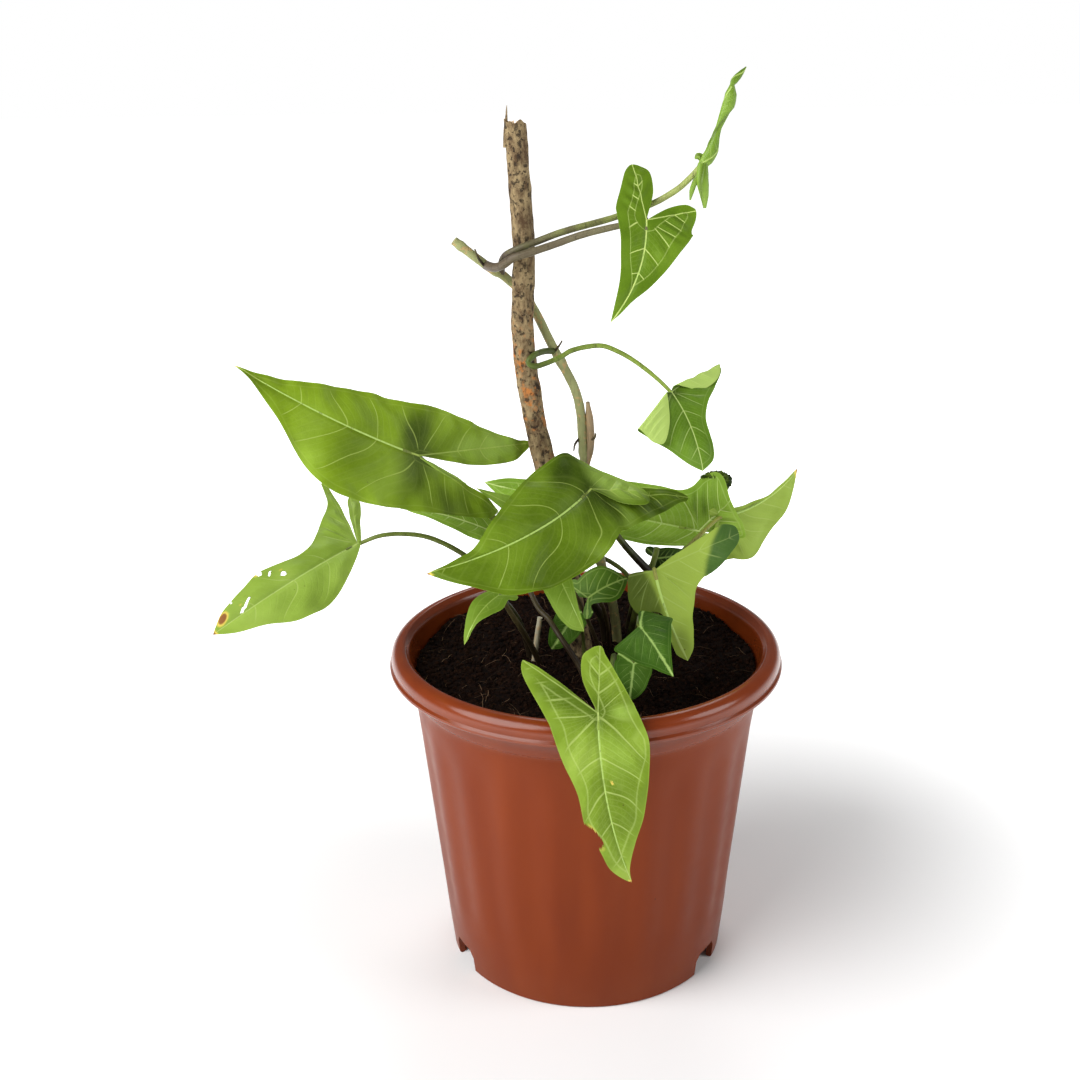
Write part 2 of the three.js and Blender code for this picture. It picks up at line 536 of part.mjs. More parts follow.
// The blade as a closed sheet, with the same points on its upper and its lower face.
function bladeMesh(leaf) {
  const axes = bladeAxes(leaf);
  const large = axes.length > LARGE_BLADE;
  const rings = large ? 3 : 2;
  const margin = (side) => {
    const half = halfOutline(leaf, axes.length, side);
    return new THREE.SplineCurve(half).getPoints((large ? 2 : 1) * (half.length - 1));
  };
  const outline = [...margin(1).reverse(), ...margin(0).slice(1)].slice(1, -1);
  const flat = [[0, 0]];
  for (let ring = 1; ring <= rings; ring++) {
    for (const point of outline) flat.push([(point.x * ring) / rings, (point.y * ring) / rings]);
  }
  const sheet = (offset) =>
    flat.map(([u, v]) => {
      const normal = shapedNormal(leaf, axes, u, v);
      return shaped(leaf, axes, u, v).addScaledVector(normal, offset).toArray();
    });
  const count = outline.length;
  const at = (ring, spoke) => 1 + (ring - 1) * count + spoke;
  const face = faceTriangles(rings, count, at);
  const border = [0];
  for (let ring = 1; ring < rings; ring++) border.push(at(ring, 0));
  for (let spoke = 0; spoke < count; spoke++) border.push(at(rings, spoke));
  for (let ring = rings - 1; ring > 0; ring--) border.push(at(ring, count - 1));
  const below = flat.length;
  const triangles = [...face, ...face.map(([a, b, c]) => [below + a, below + c, below + b])];
  border.forEach((from, index) => {
    const to = border[(index + 1) % border.length];
    triangles.push([from, below + from, below + to], [from, below + to, to]);
  });
  return closedMesh([...sheet(BLADE_THICKNESS / 2), ...sheet(-BLADE_THICKNESS / 2)], triangles);
}

// The stalk's route, carried on under the blade to become the foot of its midrib.
function stalkRoute(leaf) {
  const axes = bladeAxes(leaf);
  const under = (u, drop) => {
    const normal = shapedNormal(leaf, axes, u, 0);
    return shaped(leaf, axes, u, 0).addScaledVector(normal, -drop * leaf.stalkRadius).toArray();
  };
  return [...leaf.stalk, under(-1, 0.9), under(0.09 * axes.length, 0.35)];
}

const stalkRadii = (leaf) => [1.25, 1, 0.9, 0.75].map((share) => share * leaf.stalkRadius);
const stalkSolid = (leaf, extra = 0) => stemSolid(stalkRoute(leaf), stalkRadii(leaf), extra);

const JOINED = { vine: vineSolid, shoot: shootSolid };

function largestBody(solid) {
  return solid.decompose().reduce((best, body) => (body.volume() > best.volume() ? body : best));
}

function leafSolid(leaf) {
  const whole = toSolid(bladeMesh(leaf)).add(stalkSolid(leaf));
  return leaf.joins ? largestBody(whole.subtract(JOINED[leaf.joins](STEM_FIT))) : whole;
}

function youngLeafSolid() {
  const roll = toSolid(stemMesh(YOUNG_ROUTE, YOUNG_RADII, { sides: 7, steps: 12 }));
  let whole = roll.add(toSolid(stemMesh(YOUNG_STALK, YOUNG_STALK_RADII)));
  for (const { route, radii } of YOUNG_LOBES) whole = whole.add(toSolid(stemMesh(route, radii)));
  return largestBody(whole.subtract(vineSolid(STEM_FIT)));
}

// ---- Assembly ----

const COLOURS = {
  terracotta: new THREE.MeshStandardMaterial({ color: 0xa85a3a, roughness: 0.45, metalness: 0 }),
  peat: new THREE.MeshStandardMaterial({ color: 0x2a1a12, roughness: 1, metalness: 0 }),
  bark: new THREE.MeshStandardMaterial({ color: 0x8a7a62, roughness: 0.95, metalness: 0 }),
  vine: new THREE.MeshStandardMaterial({ color: 0x7d7f58, roughness: 0.6, metalness: 0 }),
  leaf: new THREE.MeshStandardMaterial({ color: 0x7a9a38, roughness: 0.5, metalness: 0 }),
};

function named(name, geometry, material) {
  const mesh = new THREE.Mesh(geometry, material);
  mesh.name = name;
  return mesh;
}

const FROM_SOIL = LEAVES.filter((leaf) => !leaf.joins);

function soil() {
  const stems = [stakeSolid(STEM_FIT), vineSolid(STEM_FIT), shootSolid(STEM_FIT), cutStalkSolid(STEM_FIT)];
  for (const leaf of FROM_SOIL) stems.push(stalkSolid(leaf, STEM_FIT));
  return toGeometry(stems.reduce((ground, stem) => ground.subtract(stem), toSolid(soilBody())));
}

const plant = new THREE.Group();
plant.add(named("pot", pot(), COLOURS.terracotta));
plant.add(named("soil", soil(), COLOURS.peat));
plant.add(named("stake", toGeometry(stakeSolid()), COLOURS.bark));
plant.add(named("vine", toGeometry(vineSolid()), COLOURS.vine));
plant.add(named("shoot", toGeometry(shootSolid()), COLOURS.vine));
plant.add(named("cut_stalk", toGeometry(cutStalkSolid()), COLOURS.vine));
for (const leaf of LEAVES) plant.add(named(leaf.name, toGeometry(leafSolid(leaf)), COLOURS.leaf));
plant.add(named("leaf_young", toGeometry(youngLeafSolid()), COLOURS.leaf));

export default plant;
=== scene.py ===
"""Looks of an arrowhead plant (Syngonium) that climbs a cut branch in a fluted plastic pot.

Sizes are in millimetres, as a grower and a potter would write them, and turn to metres only where
a mesh, a light or the camera is made. +Z is up and -Y is the front.
"""

from __future__ import annotations

import logging
import math
from dataclasses import dataclass, field
from enum import Enum
from functools import partial
from typing import Any, Callable

import bpy
import numpy as np
from mathutils import Matrix, Vector, noise

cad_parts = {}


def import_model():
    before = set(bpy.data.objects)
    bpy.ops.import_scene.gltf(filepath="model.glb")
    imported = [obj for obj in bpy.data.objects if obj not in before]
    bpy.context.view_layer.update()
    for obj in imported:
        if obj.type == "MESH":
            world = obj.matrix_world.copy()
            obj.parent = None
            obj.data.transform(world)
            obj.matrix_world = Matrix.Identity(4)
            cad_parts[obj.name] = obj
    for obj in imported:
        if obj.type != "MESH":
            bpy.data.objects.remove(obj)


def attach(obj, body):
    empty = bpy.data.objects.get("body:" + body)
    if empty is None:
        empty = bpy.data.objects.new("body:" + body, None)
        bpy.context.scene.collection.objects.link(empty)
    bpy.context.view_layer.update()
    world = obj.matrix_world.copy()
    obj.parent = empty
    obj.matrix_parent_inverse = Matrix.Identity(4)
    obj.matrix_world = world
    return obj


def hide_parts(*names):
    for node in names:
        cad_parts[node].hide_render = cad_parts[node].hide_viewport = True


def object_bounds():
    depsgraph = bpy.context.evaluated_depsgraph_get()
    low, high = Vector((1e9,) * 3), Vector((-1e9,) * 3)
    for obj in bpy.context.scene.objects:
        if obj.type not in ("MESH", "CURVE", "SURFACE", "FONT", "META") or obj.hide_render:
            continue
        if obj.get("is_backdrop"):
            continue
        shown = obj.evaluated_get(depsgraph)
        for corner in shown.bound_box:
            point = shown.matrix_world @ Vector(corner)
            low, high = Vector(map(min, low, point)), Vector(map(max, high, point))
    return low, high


LOG = logging.getLogger("arrowhead_plant")
MM = 0.001
BODY = "root"
SMOOTH = {"interpolation_type": "SMOOTHSTEP"}

Point = tuple[float, float, float]
Route = tuple[Point, ...]
Lobe = tuple[float, float, float, float]
Bend = tuple[float, float, float, float]
Outline = tuple[tuple[float, float], ...]
Faces = list[tuple[int, ...]]
Array = np.ndarray
Adder = Callable[..., bpy.types.Node]


class Slot(Enum):
    """The material slots of the record."""

    POT = "pot"
    SOIL = "soil"
    BARK = "bark"
    STALK = "stalk"
    LEAF = "leaf"


# ---- Small tools ----


def linear(colour: str) -> tuple[float, float, float, float]:
    """Turns an sRGB hex colour to linear light.

    Args:
        colour: "#RRGGBB".

    Returns:
        Linear red, green, blue and an alpha of 1.
    """
    parts = [int(colour[i : i + 2], 16) / 255 for i in (1, 3, 5)]
    parts = [p / 12.92 if p <= 0.04045 else ((p + 0.055) / 1.055) ** 2.4 for p in parts]
    return (parts[0], parts[1], parts[2], 1.0)


def per_mm(size: float) -> float:
    """Returns the texture scale that makes one cell of a pattern `size` millimetres wide."""
    return 1000 / size


def turns(count: int) -> Array:
    """Returns evenly spaced angles, once round."""
    return np.linspace(0, 2 * np.pi, count, endpoint=False)


def add_node(tree: bpy.types.NodeTree, kind: str, inputs: dict[Any, Any] | None = None,
             **settings: Any) -> bpy.types.Node:
    """Adds a node with its settings and its links.

    Args:
        tree: The node tree.
        kind: The node's type name, which may leave out "ShaderNode".
        inputs: Socket name or index to a value, an sRGB hex colour, an output socket, or a node whose
            first output is used.
        settings: Attributes of the node.

    Returns:
        The new node.
    """
    node = tree.nodes.new(kind if "Node" in kind else f"ShaderNode{kind}")
    for name, value in settings.items():
        setattr(node, name, value)
    for socket, value in (inputs or {}).items():
        if isinstance(value, bpy.types.Node):
            value = value.outputs[0]
        if isinstance(value, bpy.types.NodeSocket):
            tree.links.new(value, node.inputs[socket])
        elif isinstance(value, str) and value.startswith("#"):
            node.inputs[socket].default_value = linear(value)
        else:
            node.inputs[socket].default_value = value
    return node


def new_material(name: str) -> tuple[bpy.types.Material, Adder]:
    """Makes an empty node material.

    Args:
        name: The real material's name.

    Returns:
        The material, and add_node for its tree.
    """
    material = bpy.data.materials.new(name)
    material.use_nodes = True
    material.node_tree.nodes.clear()
    return material, partial(add_node, material.node_tree)


def new_tree(name: str, inputs: dict[str, str]) -> tuple[bpy.types.NodeTree, Adder]:
    """Makes an empty Geometry Nodes tree that takes a mesh and gives one back.

    Args:
        name: The tree's name.
        inputs: Its other inputs, each a name and a kind of socket.

    Returns:
        The tree, and add_node for it.
    """
    tree = bpy.data.node_groups.new(name, "GeometryNodeTree")
    for socket, kind in {"Geometry": "Geometry", **inputs}.items():
        tree.interface.new_socket(socket, in_out="INPUT", socket_type=f"NodeSocket{kind}")
    tree.interface.new_socket("Geometry", in_out="OUTPUT", socket_type="NodeSocketGeometry")
    return tree, partial(add_node, tree)


def lay(add: Adder, base: Any, *layers: tuple[Any, Any]) -> bpy.types.NodeSocket:
    """Lays colours over a base, in order.

    Args:
        add: add_node for the tree.
        base: The lowest colour.
        layers: Each a share from 0 to 1 and the colour that it brings.

    Returns:
        The socket of the whole colour.
    """
    for share, colour in layers:
        base = add("Mix", {0: share, 6: base, 7: colour}, data_type="RGBA").outputs[2]
    return base


def new_object(name: str, data: Any) -> bpy.types.Object:
    """Makes an object and puts it in the scene."""
    made = bpy.data.objects.new(name, data)
    bpy.context.scene.collection.objects.link(made)
    return made


def ease(values: Array, low: float, high: float) -> Array:
    """Returns a smooth step from 0 at `low` to 1 at `high`."""
    share = np.clip((values - low) / (high - low), 0, 1)
    return share * share * (3 - 2 * share)


def ripple_noise(points: Array, size: float, seed: float = 0.0) -> Array:
    """Reads smooth noise at points.

    Args:
        points: Points in millimetres, one a row.
        size: Width of one bump in millimetres.
        seed: Shifts the pattern.

    Returns:
        Values from about -1 to 1.
    """
    return np.array([noise.noise(Vector(point) / size + Vector((seed, seed, seed))) for point in points])


def mesh_piece(name: str, points: Array, faces: Faces, material: bpy.types.Material,
               fields: dict[str, Array] | None = None, sharp: float = 50.0) -> bpy.types.Object:
    """Makes a smooth mesh object from points in millimetres.

    Args:
        name: The object's name.
        points: Points in millimetres, one a row.
        faces: Indices of each face, outwards.
        material: The finish.
        fields: Values for each point that the finish reads, numbers or triples.
        sharp: Degrees past which an edge stays sharp.

    Returns:
        The new object, at the origin.
    """
    mesh = bpy.data.meshes.new(name)
    mesh.from_pydata((np.asarray(points) * MM).tolist(), [], faces)
    for key, values in (fields or {}).items():
        values = np.asarray(values, dtype=np.float32)
        kind = "FLOAT_VECTOR" if values.ndim == 2 else "FLOAT"
        store = mesh.attributes.new(key, kind, "POINT")
        store.data.foreach_set("vector" if values.ndim == 2 else "value", values.ravel())
    mesh.materials.append(material)
    mesh.shade_smooth()
    mesh.set_sharp_from_angle(angle=math.radians(sharp))
    return new_object(name, mesh)


def dress(piece: bpy.types.Object, slot: Slot, *nodes: str) -> None:
    """Makes a piece ride on the plant and hides the solids that it stands for."""
    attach(piece, BODY)
    if nodes:
        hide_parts(*nodes)


def skin(rings: list[Array], first: int = 0) -> Faces:
    """Joins closed rings of equal count in order, with a cap on each end.

    Args:
        rings: The rings, each an array of points that runs the same way round.
        first: Index of the first ring's first point.

    Returns:
        The faces.
    """
    count = len(rings[0])
    faces: Faces = []
    for ring in range(len(rings) - 1):
        a = first + ring * count
        b = a + count
        for step in range(count):
            nxt = (step + 1) % count
            faces.append((a + step, a + nxt, b + nxt, b + step))
    last = first + (len(rings) - 1) * count
    faces.append(tuple(first + step for step in reversed(range(count))))
    faces.append(tuple(last + step for step in range(count)))
    return faces


def smooth_outline(points: Array, steps: int) -> Array:
    """Draws an even curve through points, with `steps` parts between each two."""
    padded = np.vstack([points[:1], points, points[-1:]])
    t = np.arange(steps) / steps
    weights = 0.5 * np.stack([
        -t + 2 * t**2 - t**3, 2 - 5 * t**2 + 3 * t**3, t + 4 * t**2 - 3 * t**3, -(t**2) + t**3], axis=1)
    parts = [weights @ padded[i : i + 4] for i in range(len(points) - 1)]
    return np.vstack([*parts, points[-1:]])


def stem_line(route: Array, spacing: float) -> Array:
    """Draws the smooth middle line of a stem.

    Args:
        route: Points the stem passes through, in millimetres.
        spacing: Distance between the points of the line.

    Returns:
        Evenly spaced points.
    """
    ends = np.vstack([2 * route[0] - route[1], route, 2 * route[-1] - route[-2]])
    t = np.linspace(0, 1, 12, endpoint=False)[:, None]
    parts = []
    for i in range(len(route) - 1):
        p0, p1, p2, p3 = ends[i : i + 4]
        d0, d1, d2 = (math.sqrt(max(np.linalg.norm(b - a), 1e-6)) for a, b in ((p0, p1), (p1, p2), (p2, p3)))
        m1 = d1 * ((p1 - p0) / d0 - (p2 - p0) / (d0 + d1) + (p2 - p1) / d1)
        m2 = d1 * ((p2 - p1) / d1 - (p3 - p1) / (d1 + d2) + (p3 - p2) / d2)
        parts.append((2 * t**3 - 3 * t**2 + 1) * p1 + (t**3 - 2 * t**2 + t) * m1
                     + (3 * t**2 - 2 * t**3) * p2 + (t**3 - t**2) * m2)
    line = np.vstack([*parts, route[-1:]])
    walked = np.concatenate([[0], np.cumsum(np.linalg.norm(np.diff(line, axis=0), axis=1))])
    marks = np.linspace(0, walked[-1], max(int(walked[-1] / spacing), 4) + 1)
    return np.stack([np.interp(marks, walked, line[:, axis]) for axis in range(3)], axis=1)


def line_frames(line: Array) -> tuple[Array, Array]:
    """Carries two axes along a line without twisting.

    Args:
        line: Points along the line.

    Returns:
        Two arrays of unit vectors, both square to the line at each point.
    """
    ahead = np.gradient(line, axis=0)
    ahead /= np.linalg.norm(ahead, axis=1)[:, None]
    side = np.cross(ahead[0], (0, 1, 0) if abs(ahead[0][1]) < 0.9 else (1, 0, 0))
    sides, ups = [], []
    for direction in ahead:
        side = side - direction * np.dot(side, direction)
        side = side / np.linalg.norm(side)
        sides.append(side)
        ups.append(np.cross(direction, side))
    return np.array(sides), np.array(ups)


# ---- Finishes ----


@dataclass(frozen=True)
class PotPlastic:
    """Polypropylene, injection moulded in a terracotta colour: satin, with an even soft sheen."""

    base: str = "#7A3310"
    deep: str = "#702C0E"
    dust: str = "#B98567"
    speck: str = "#3A1F14"
    polished_from: float = 0.147
    polished_at: float = 0.151

    def material(self) -> bpy.types.Material:
        """Returns the pot's material: faint mould flow marks, dust low down and a few dark specks."""
        material, add = new_material("moulded polypropylene, terracotta")
        at = add("TexCoord").outputs["Object"]
        drawn = add("Mapping", {"Vector": at, "Scale": (1.0, 1.0, 0.2)})
        flow = add("TexNoise", {"Vector": drawn, "Scale": per_mm(18), "Detail": 2.0, "Roughness": 0.5})
        tone = add("MapRange", {0: flow, 1: 0.25, 2: 0.75})
        height = add("SeparateXYZ", {0: at}).outputs["Z"]
        low = add("MapRange", {0: height, 1: 0.02, 2: 0.0, 3: 0.0, 4: 0.06})
        film = add("TexNoise", {"Vector": at, "Scale": per_mm(9), "Detail": 4.0})
        dusty = add("Math", {0: low, 1: film}, operation="MULTIPLY")
        grit = add("TexVoronoi", {"Vector": at, "Scale": per_mm(11)})
        near = add("MapRange", {0: grit, 1: 0.05, 2: 0.03})
        pick = add("SeparateColor", {0: grit.outputs["Color"]})
        some = add("Math", {0: pick, 1: 0.8}, operation="GREATER_THAN")
        spot = add("Math", {0: near, 1: some}, operation="MULTIPLY")
        colour = lay(add, self.base, (tone, self.deep), (dusty, self.dust), (spot, self.speck))
        fine = add("TexNoise", {"Vector": at, "Scale": per_mm(1.2), "Detail": 2.0})
        rough = add("MapRange", {0: film, 1: 0.3, 2: 0.7, 3: 0.31, 4: 0.38})
        # The rim is moulded against a polished part of the tool, so it shines more than the wall.
        shine, bend = (
            add("MapRange", {0: height, 1: self.polished_from, 2: self.polished_at, 3: wall, 4: rim})
            for wall, rim in ((0.0, 0.14), (1.24, 1.42)))
        rough = add("Math", {0: rough, 1: shine}, operation="SUBTRACT")
        bump = add("Bump", {"Strength": 0.06, "Distance": 0.0002, "Height": fine})
        shader = add("BsdfPrincipled", {
            "Base Color": colour, "Roughness": rough, "IOR": bend, "Normal": bump})
        add("OutputMaterial", {0: shader})
        return material


@dataclass(frozen=True)
class PottingSoil:
    """Moist peat compost: almost black, with brown fibres and no gloss."""

    dark: str = "#0A0504"
    light: str = "#23140C"
    fibre: str = "#77604A"

    def material(self, kind: str) -> bpy.types.Material:
        """Makes the material of the bed, the crumbs or the fibres.

        Args:
            kind: "bed", "crumbs" or "fibres".

        Returns:
            The material. Crumbs and fibres read their own tone.
        """
        material, add = new_material(f"peat compost, {kind}")
        at = add("TexCoord").outputs["Object"]
        grain = add("TexNoise", {"Vector": at, "Scale": per_mm(2.2), "Detail": 5.0, "Roughness": 0.7})
        if kind == "bed":
            tone = add("MapRange", {0: grain, 1: 0.42, 2: 0.75})
            low, high = self.dark, self.light
        else:
            tone = add("Attribute", attribute_name="tone").outputs["Fac"]
            low, high = (self.dark, self.light) if kind == "crumbs" else (self.light, self.fibre)
        colour = lay(add, low, (tone, high))
        bump = add("Bump", {"Strength": 0.8, "Distance": 0.001, "Height": grain})
        shader = add("BsdfPrincipled", {
            "Base Color": colour, "Roughness": 0.9, "Specular IOR Level": 0.05, "Normal": bump})
        add("OutputMaterial", {0: shader})
        return material


@dataclass(frozen=True)
class Bark:
    """Weathered bark: grey-brown, cracked and pitted, with orange inner bark where it is rubbed."""

    crust: str = "#8F7C5A"
    shade: str = "#4E3B27"
    pit: str = "#241A12"
    inner: str = "#A86A34"
    wood: str = "#E6CBA6"

    def material(self) -> bpy.types.Material:
        """Returns the branch's material. The field "wood" is 1 on the broken end."""
        material, add = new_material("weathered bark")
        at = add("TexCoord").outputs["Object"]
        long = add("Mapping", {"Vector": at, "Scale": (1.0, 1.0, 0.55)})
        crust = add("TexNoise", {"Vector": long, "Scale": per_mm(5), "Detail": 6.0, "Roughness": 0.75})
        tone = add("MapRange", {0: crust, 1: 0.38, 2: 0.6})
        height = add("SeparateXYZ", {0: at}).outputs["Z"]
        above = add("MapRange", {0: height, 1: 0.262, 2: 0.29})
        below = add("MapRange", {0: height, 1: 0.345, 2: 0.32})
        band = add("Math", {0: above, 1: below}, operation="MULTIPLY")
        rub = add("TexNoise", {"Vector": at, "Scale": per_mm(6), "Detail": 6.0, "Roughness": 0.7})
        patch = add("MapRange", {0: rub, 1: 0.52, 2: 0.62})
        orange = add("Math", {0: band, 1: patch}, operation="MULTIPLY")
        warp = add("VectorMath", {0: crust.outputs["Color"], "Scale": 0.004}, operation="SCALE")
        bent = add("VectorMath", {0: long, 1: warp}, operation="ADD")
        holes = add("TexVoronoi", {"Vector": bent, "Scale": per_mm(4.2)})
        deep = add("MapRange", {0: holes, 1: 0.26, 2: 0.1, 3: 0.0, 4: 0.85})
        cracks = add("TexNoise", {"Vector": at, "Scale": per_mm(2.0), "Detail": 5.0})
        split = add("MapRange", {0: cracks, 1: 0.42, 2: 0.34, 3: 0.0, 4: 0.8})
        dark = add("Math", {0: deep, 1: split}, operation="MAXIMUM")
        bare = add("Attribute", attribute_name="wood").outputs["Fac"]
        colour = lay(
            add, self.shade, (tone, self.crust), (orange, self.inner), (dark, self.pit), (bare, self.wood))
        depth = add("Math", {0: crust, 1: dark}, operation="SUBTRACT")
        bump = add("Bump", {"Strength": 0.9, "Distance": 0.0012, "Height": depth})
        shader = add("BsdfPrincipled", {
            "Base Color": colour, "Roughness": 0.88, "Specular IOR Level": 0.25, "Normal": bump})
        add("OutputMaterial", {0: shader})
        return material


@dataclass(frozen=True)
class StalkFinish:
    """Green stem tissue, smooth and faintly waxy, with one colour at its foot and another at the blade."""

    name: str
    foot: str
    head: str
    rib: str = "#A9C566"
    streak: str = "#241B14"
    husk: str = "#B08A5C"
    scurf: float = 0.0

    def material(self) -> bpy.types.Material:
        """Returns the stem's material, made once. It reads "along", from 0 to 1, with the midrib above 1."""
        found = bpy.data.materials.get(self.name)
        if found:
            return found
        material, add = new_material(self.name)
        at = add("TexCoord").outputs["Object"]
        along = add("Attribute", attribute_name="along").outputs["Fac"]
        mottle = add("TexNoise", {"Vector": at, "Scale": per_mm(6), "Detail": 3.0})
        shift = add("MapRange", {0: mottle, 1: 0.3, 2: 0.7, 3: -0.15, 4: 0.15})
        place = add("Math", {0: along, 1: shift}, operation="ADD")
        rise = add("MapRange", {0: place, 1: 0.15, 2: 0.95})
        onto = add("MapRange", {0: along, 1: 1.0, 2: 1.15})
        thread = add("Mapping", {"Vector": at, "Scale": (1.0, 1.0, 0.12)})
        lines = add("TexNoise", {"Vector": thread, "Scale": per_mm(1.1), "Detail": 2.0})
        line = add("MapRange", {0: lines, 1: 0.58, 2: 0.7, 3: 0.0, 4: 0.45})
        flakes = add("TexNoise", {"Vector": at, "Scale": per_mm(3.2), "Detail": 5.0})
        flake = add("MapRange", {0: flakes, 1: 0.56, 2: 0.62, 3: 0.0, 4: self.scurf})
        colour = lay(
            add, self.foot, (rise, self.head), (onto, self.rib), (line, self.streak), (flake, self.husk))
        bump = add("Bump", {"Strength": 0.25, "Distance": 0.0004, "Height": lines})
        shader = add("BsdfPrincipled", {
            "Base Color": colour, "Roughness": 0.42, "IOR": 1.35, "Specular IOR Level": 0.4,
            "Normal": bump})
        add("OutputMaterial", {0: shader})
        return material


@dataclass(frozen=True)
class LeafFinish:
    """A living leaf: satin green above with sunken pale veins, duller and paler below.

    Widths are in millimetres, and strengths run from 0 to 1.
    """

    name: str
    shade: str = "#5C7414"
    blade: str = "#738E1E"
    light: str = "#87A334"
    under: str = "#97B14E"
    under_shade: str = "#7C983A"
    vein: str = "#AEC162"
    rib_width: float = 0.55
    rib_strength: float = 0.68
    vein_width: float = 0.42
    vein_strength: float = 0.4
    vein_stop: float = 0.6
    vein_fade: float = 5.0
    ring_inset: float = 2.0
    ring_strength: float = 0.1
    fine_strength: float = 0.05
    halo_width: float = 0.0
    halo: str = "#C4D98A"
    # Painted shade: round the stalk, where the blade folds, the colour darkens towards this heart colour; the next
    # two fields give how strongly and how far. The heart colour also darkens the painted shade spots.
    heart: str = "#1E2C06"
    heart_shade_strength: float = 0.8
    heart_shade_size: float = 19.0
    # The colour of painted light on the blade.
    painted_light_tint: str = "#93B04C"
    speck: str = "#4A3B1E"
    yellowed: str = "#D8C25A"
    browned: str = "#8A5A32"
    specks: float = 0.12
    gloss: float = 0.18
    roughness: float = 0.4

    def material(self) -> bpy.types.Material:
        """Makes the leaf's material, once.

        Returns:
            The material. It reads the fields "veins" (distance to the midrib, distance to the lobe's
            rib, place among the side veins), "place" (spacing of the side veins, distance to the
            margin, distance to the stalk), "upper" (1 on the upper face), "dry" and "deep" (painted
            shade up to 1, painted light down to -1).
        """
        found = bpy.data.materials.get(self.name)
        if found:
            return found
        material, add = new_material(self.name)
        at = add("TexCoord").outputs["Object"]
        veins = add("SeparateXYZ", {
            0: add("Attribute", attribute_name="veins").outputs["Vector"]})
        place = add("SeparateXYZ", {
            0: add("Attribute", attribute_name="place").outputs["Vector"]})
        upper = add("Attribute", attribute_name="upper").outputs["Fac"]
        dry = add("Attribute", attribute_name="dry").outputs["Fac"]
        pitch, edge, heart = place.outputs

        # Midrib and lobe ribs, thinner the further they are from the stalk.
        girth = add("MapRange", {0: heart, 1: 0.0, 2: 90.0, 3: self.rib_width, 4: 0.25})
        rib = add("Math", {0: veins.outputs[0], 1: girth}, operation="DIVIDE")
        rib_mask = add("MapRange", {
            0: rib, 1: 0.4, 2: 1.2, 3: self.rib_strength, 4: 0.0}, **SMOOTH)
        lobe = add("Math", {0: veins.outputs[1], 1: girth}, operation="DIVIDE")
        lobe_mask = add("MapRange", {0: lobe, 1: 0.3, 2: 0.9, 3: 1.0, 4: 0.0}, **SMOOTH)

        # Side veins stand evenly apart and wander a little.
        stray = add("TexNoise", {"Vector": at, "Scale": per_mm(22), "Detail": 0.0})
        drift = add("MapRange", {0: stray, 1: 0.2, 2: 0.8, 3: 0.3, 4: 0.7})
        phase = add("Math", {0: veins.outputs[2], 1: drift}, operation="ADD")
        share = add("Math", {0: phase}, operation="FRACT")
        off = add("Math", {0: share, 1: 0.5}, operation="SUBTRACT")
        off = add("Math", {0: off}, operation="ABSOLUTE")
        side = add("Math", {0: off, 1: pitch}, operation="MULTIPLY")
        side_mask = add("MapRange", {
            0: side, 1: 0.4 * self.vein_width, 2: self.vein_width, 3: 1.0, 4: 0.0}, **SMOOTH)
        sway = add("MapRange", {
            0: stray, 1: 0.25, 2: 0.75, 3: -0.45 * self.ring_inset, 4: 0.45 * self.ring_inset})
        depth = add("Math", {0: edge, 1: sway}, operation="SUBTRACT")
        inside = add("MapRange", {
            0: depth, 1: self.vein_stop - 0.3, 2: self.vein_stop + self.vein_fade}, **SMOOTH)
        side_mask = add("Math", {0: side_mask, 1: inside}, operation="MULTIPLY")
        ring = add("Math", {0: depth, 1: self.ring_inset}, operation="SUBTRACT")
        ring = add("Math", {0: ring}, operation="ABSOLUTE")
        ring_share = self.ring_strength / max(self.vein_strength, 0.01)
        ring_mask = add("MapRange", {0: ring, 1: 0.1, 2: self.vein_width, 3: ring_share, 4: 0.0})
        most = add("Math", {0: side_mask, 1: ring_mask}, operation="MAXIMUM")
        most = add("Math", {0: most, 1: lobe_mask}, operation="MAXIMUM")
        most = add("Math", {0: most, 1: self.vein_strength}, operation="MULTIPLY")
        vein_mask = add("Math", {0: most, 1: rib_mask}, operation="MAXIMUM")

        # Fine parallel veins between them and the net that joins them.
        third = add("Math", {0: phase, 1: 5.0}, operation="MULTIPLY")
        third = add("Math", {0: third}, operation="FRACT")
        third = add("Math", {0: third, 1: 0.5}, operation="SUBTRACT")
        third = add("Math", {0: third}, operation="ABSOLUTE")
        third = add("MapRange", {0: third, 1: 0.03, 2: 0.16, 3: 1.0, 4: 0.0}, **SMOOTH)
        net = add("TexVoronoi", {"Vector": at, "Scale": per_mm(2.6)}, feature="DISTANCE_TO_EDGE")
        net_mask = add("MapRange", {0: net, 1: 0.02, 2: 0.09, 3: 0.55, 4: 0.0})
        fine = add("Math", {0: third, 1: net_mask}, operation="MAXIMUM")
        fine = add("Math", {0: fine, 1: inside}, operation="MULTIPLY")
        fine_mask = add("Math", {0: fine, 1: self.fine_strength}, operation="MULTIPLY")
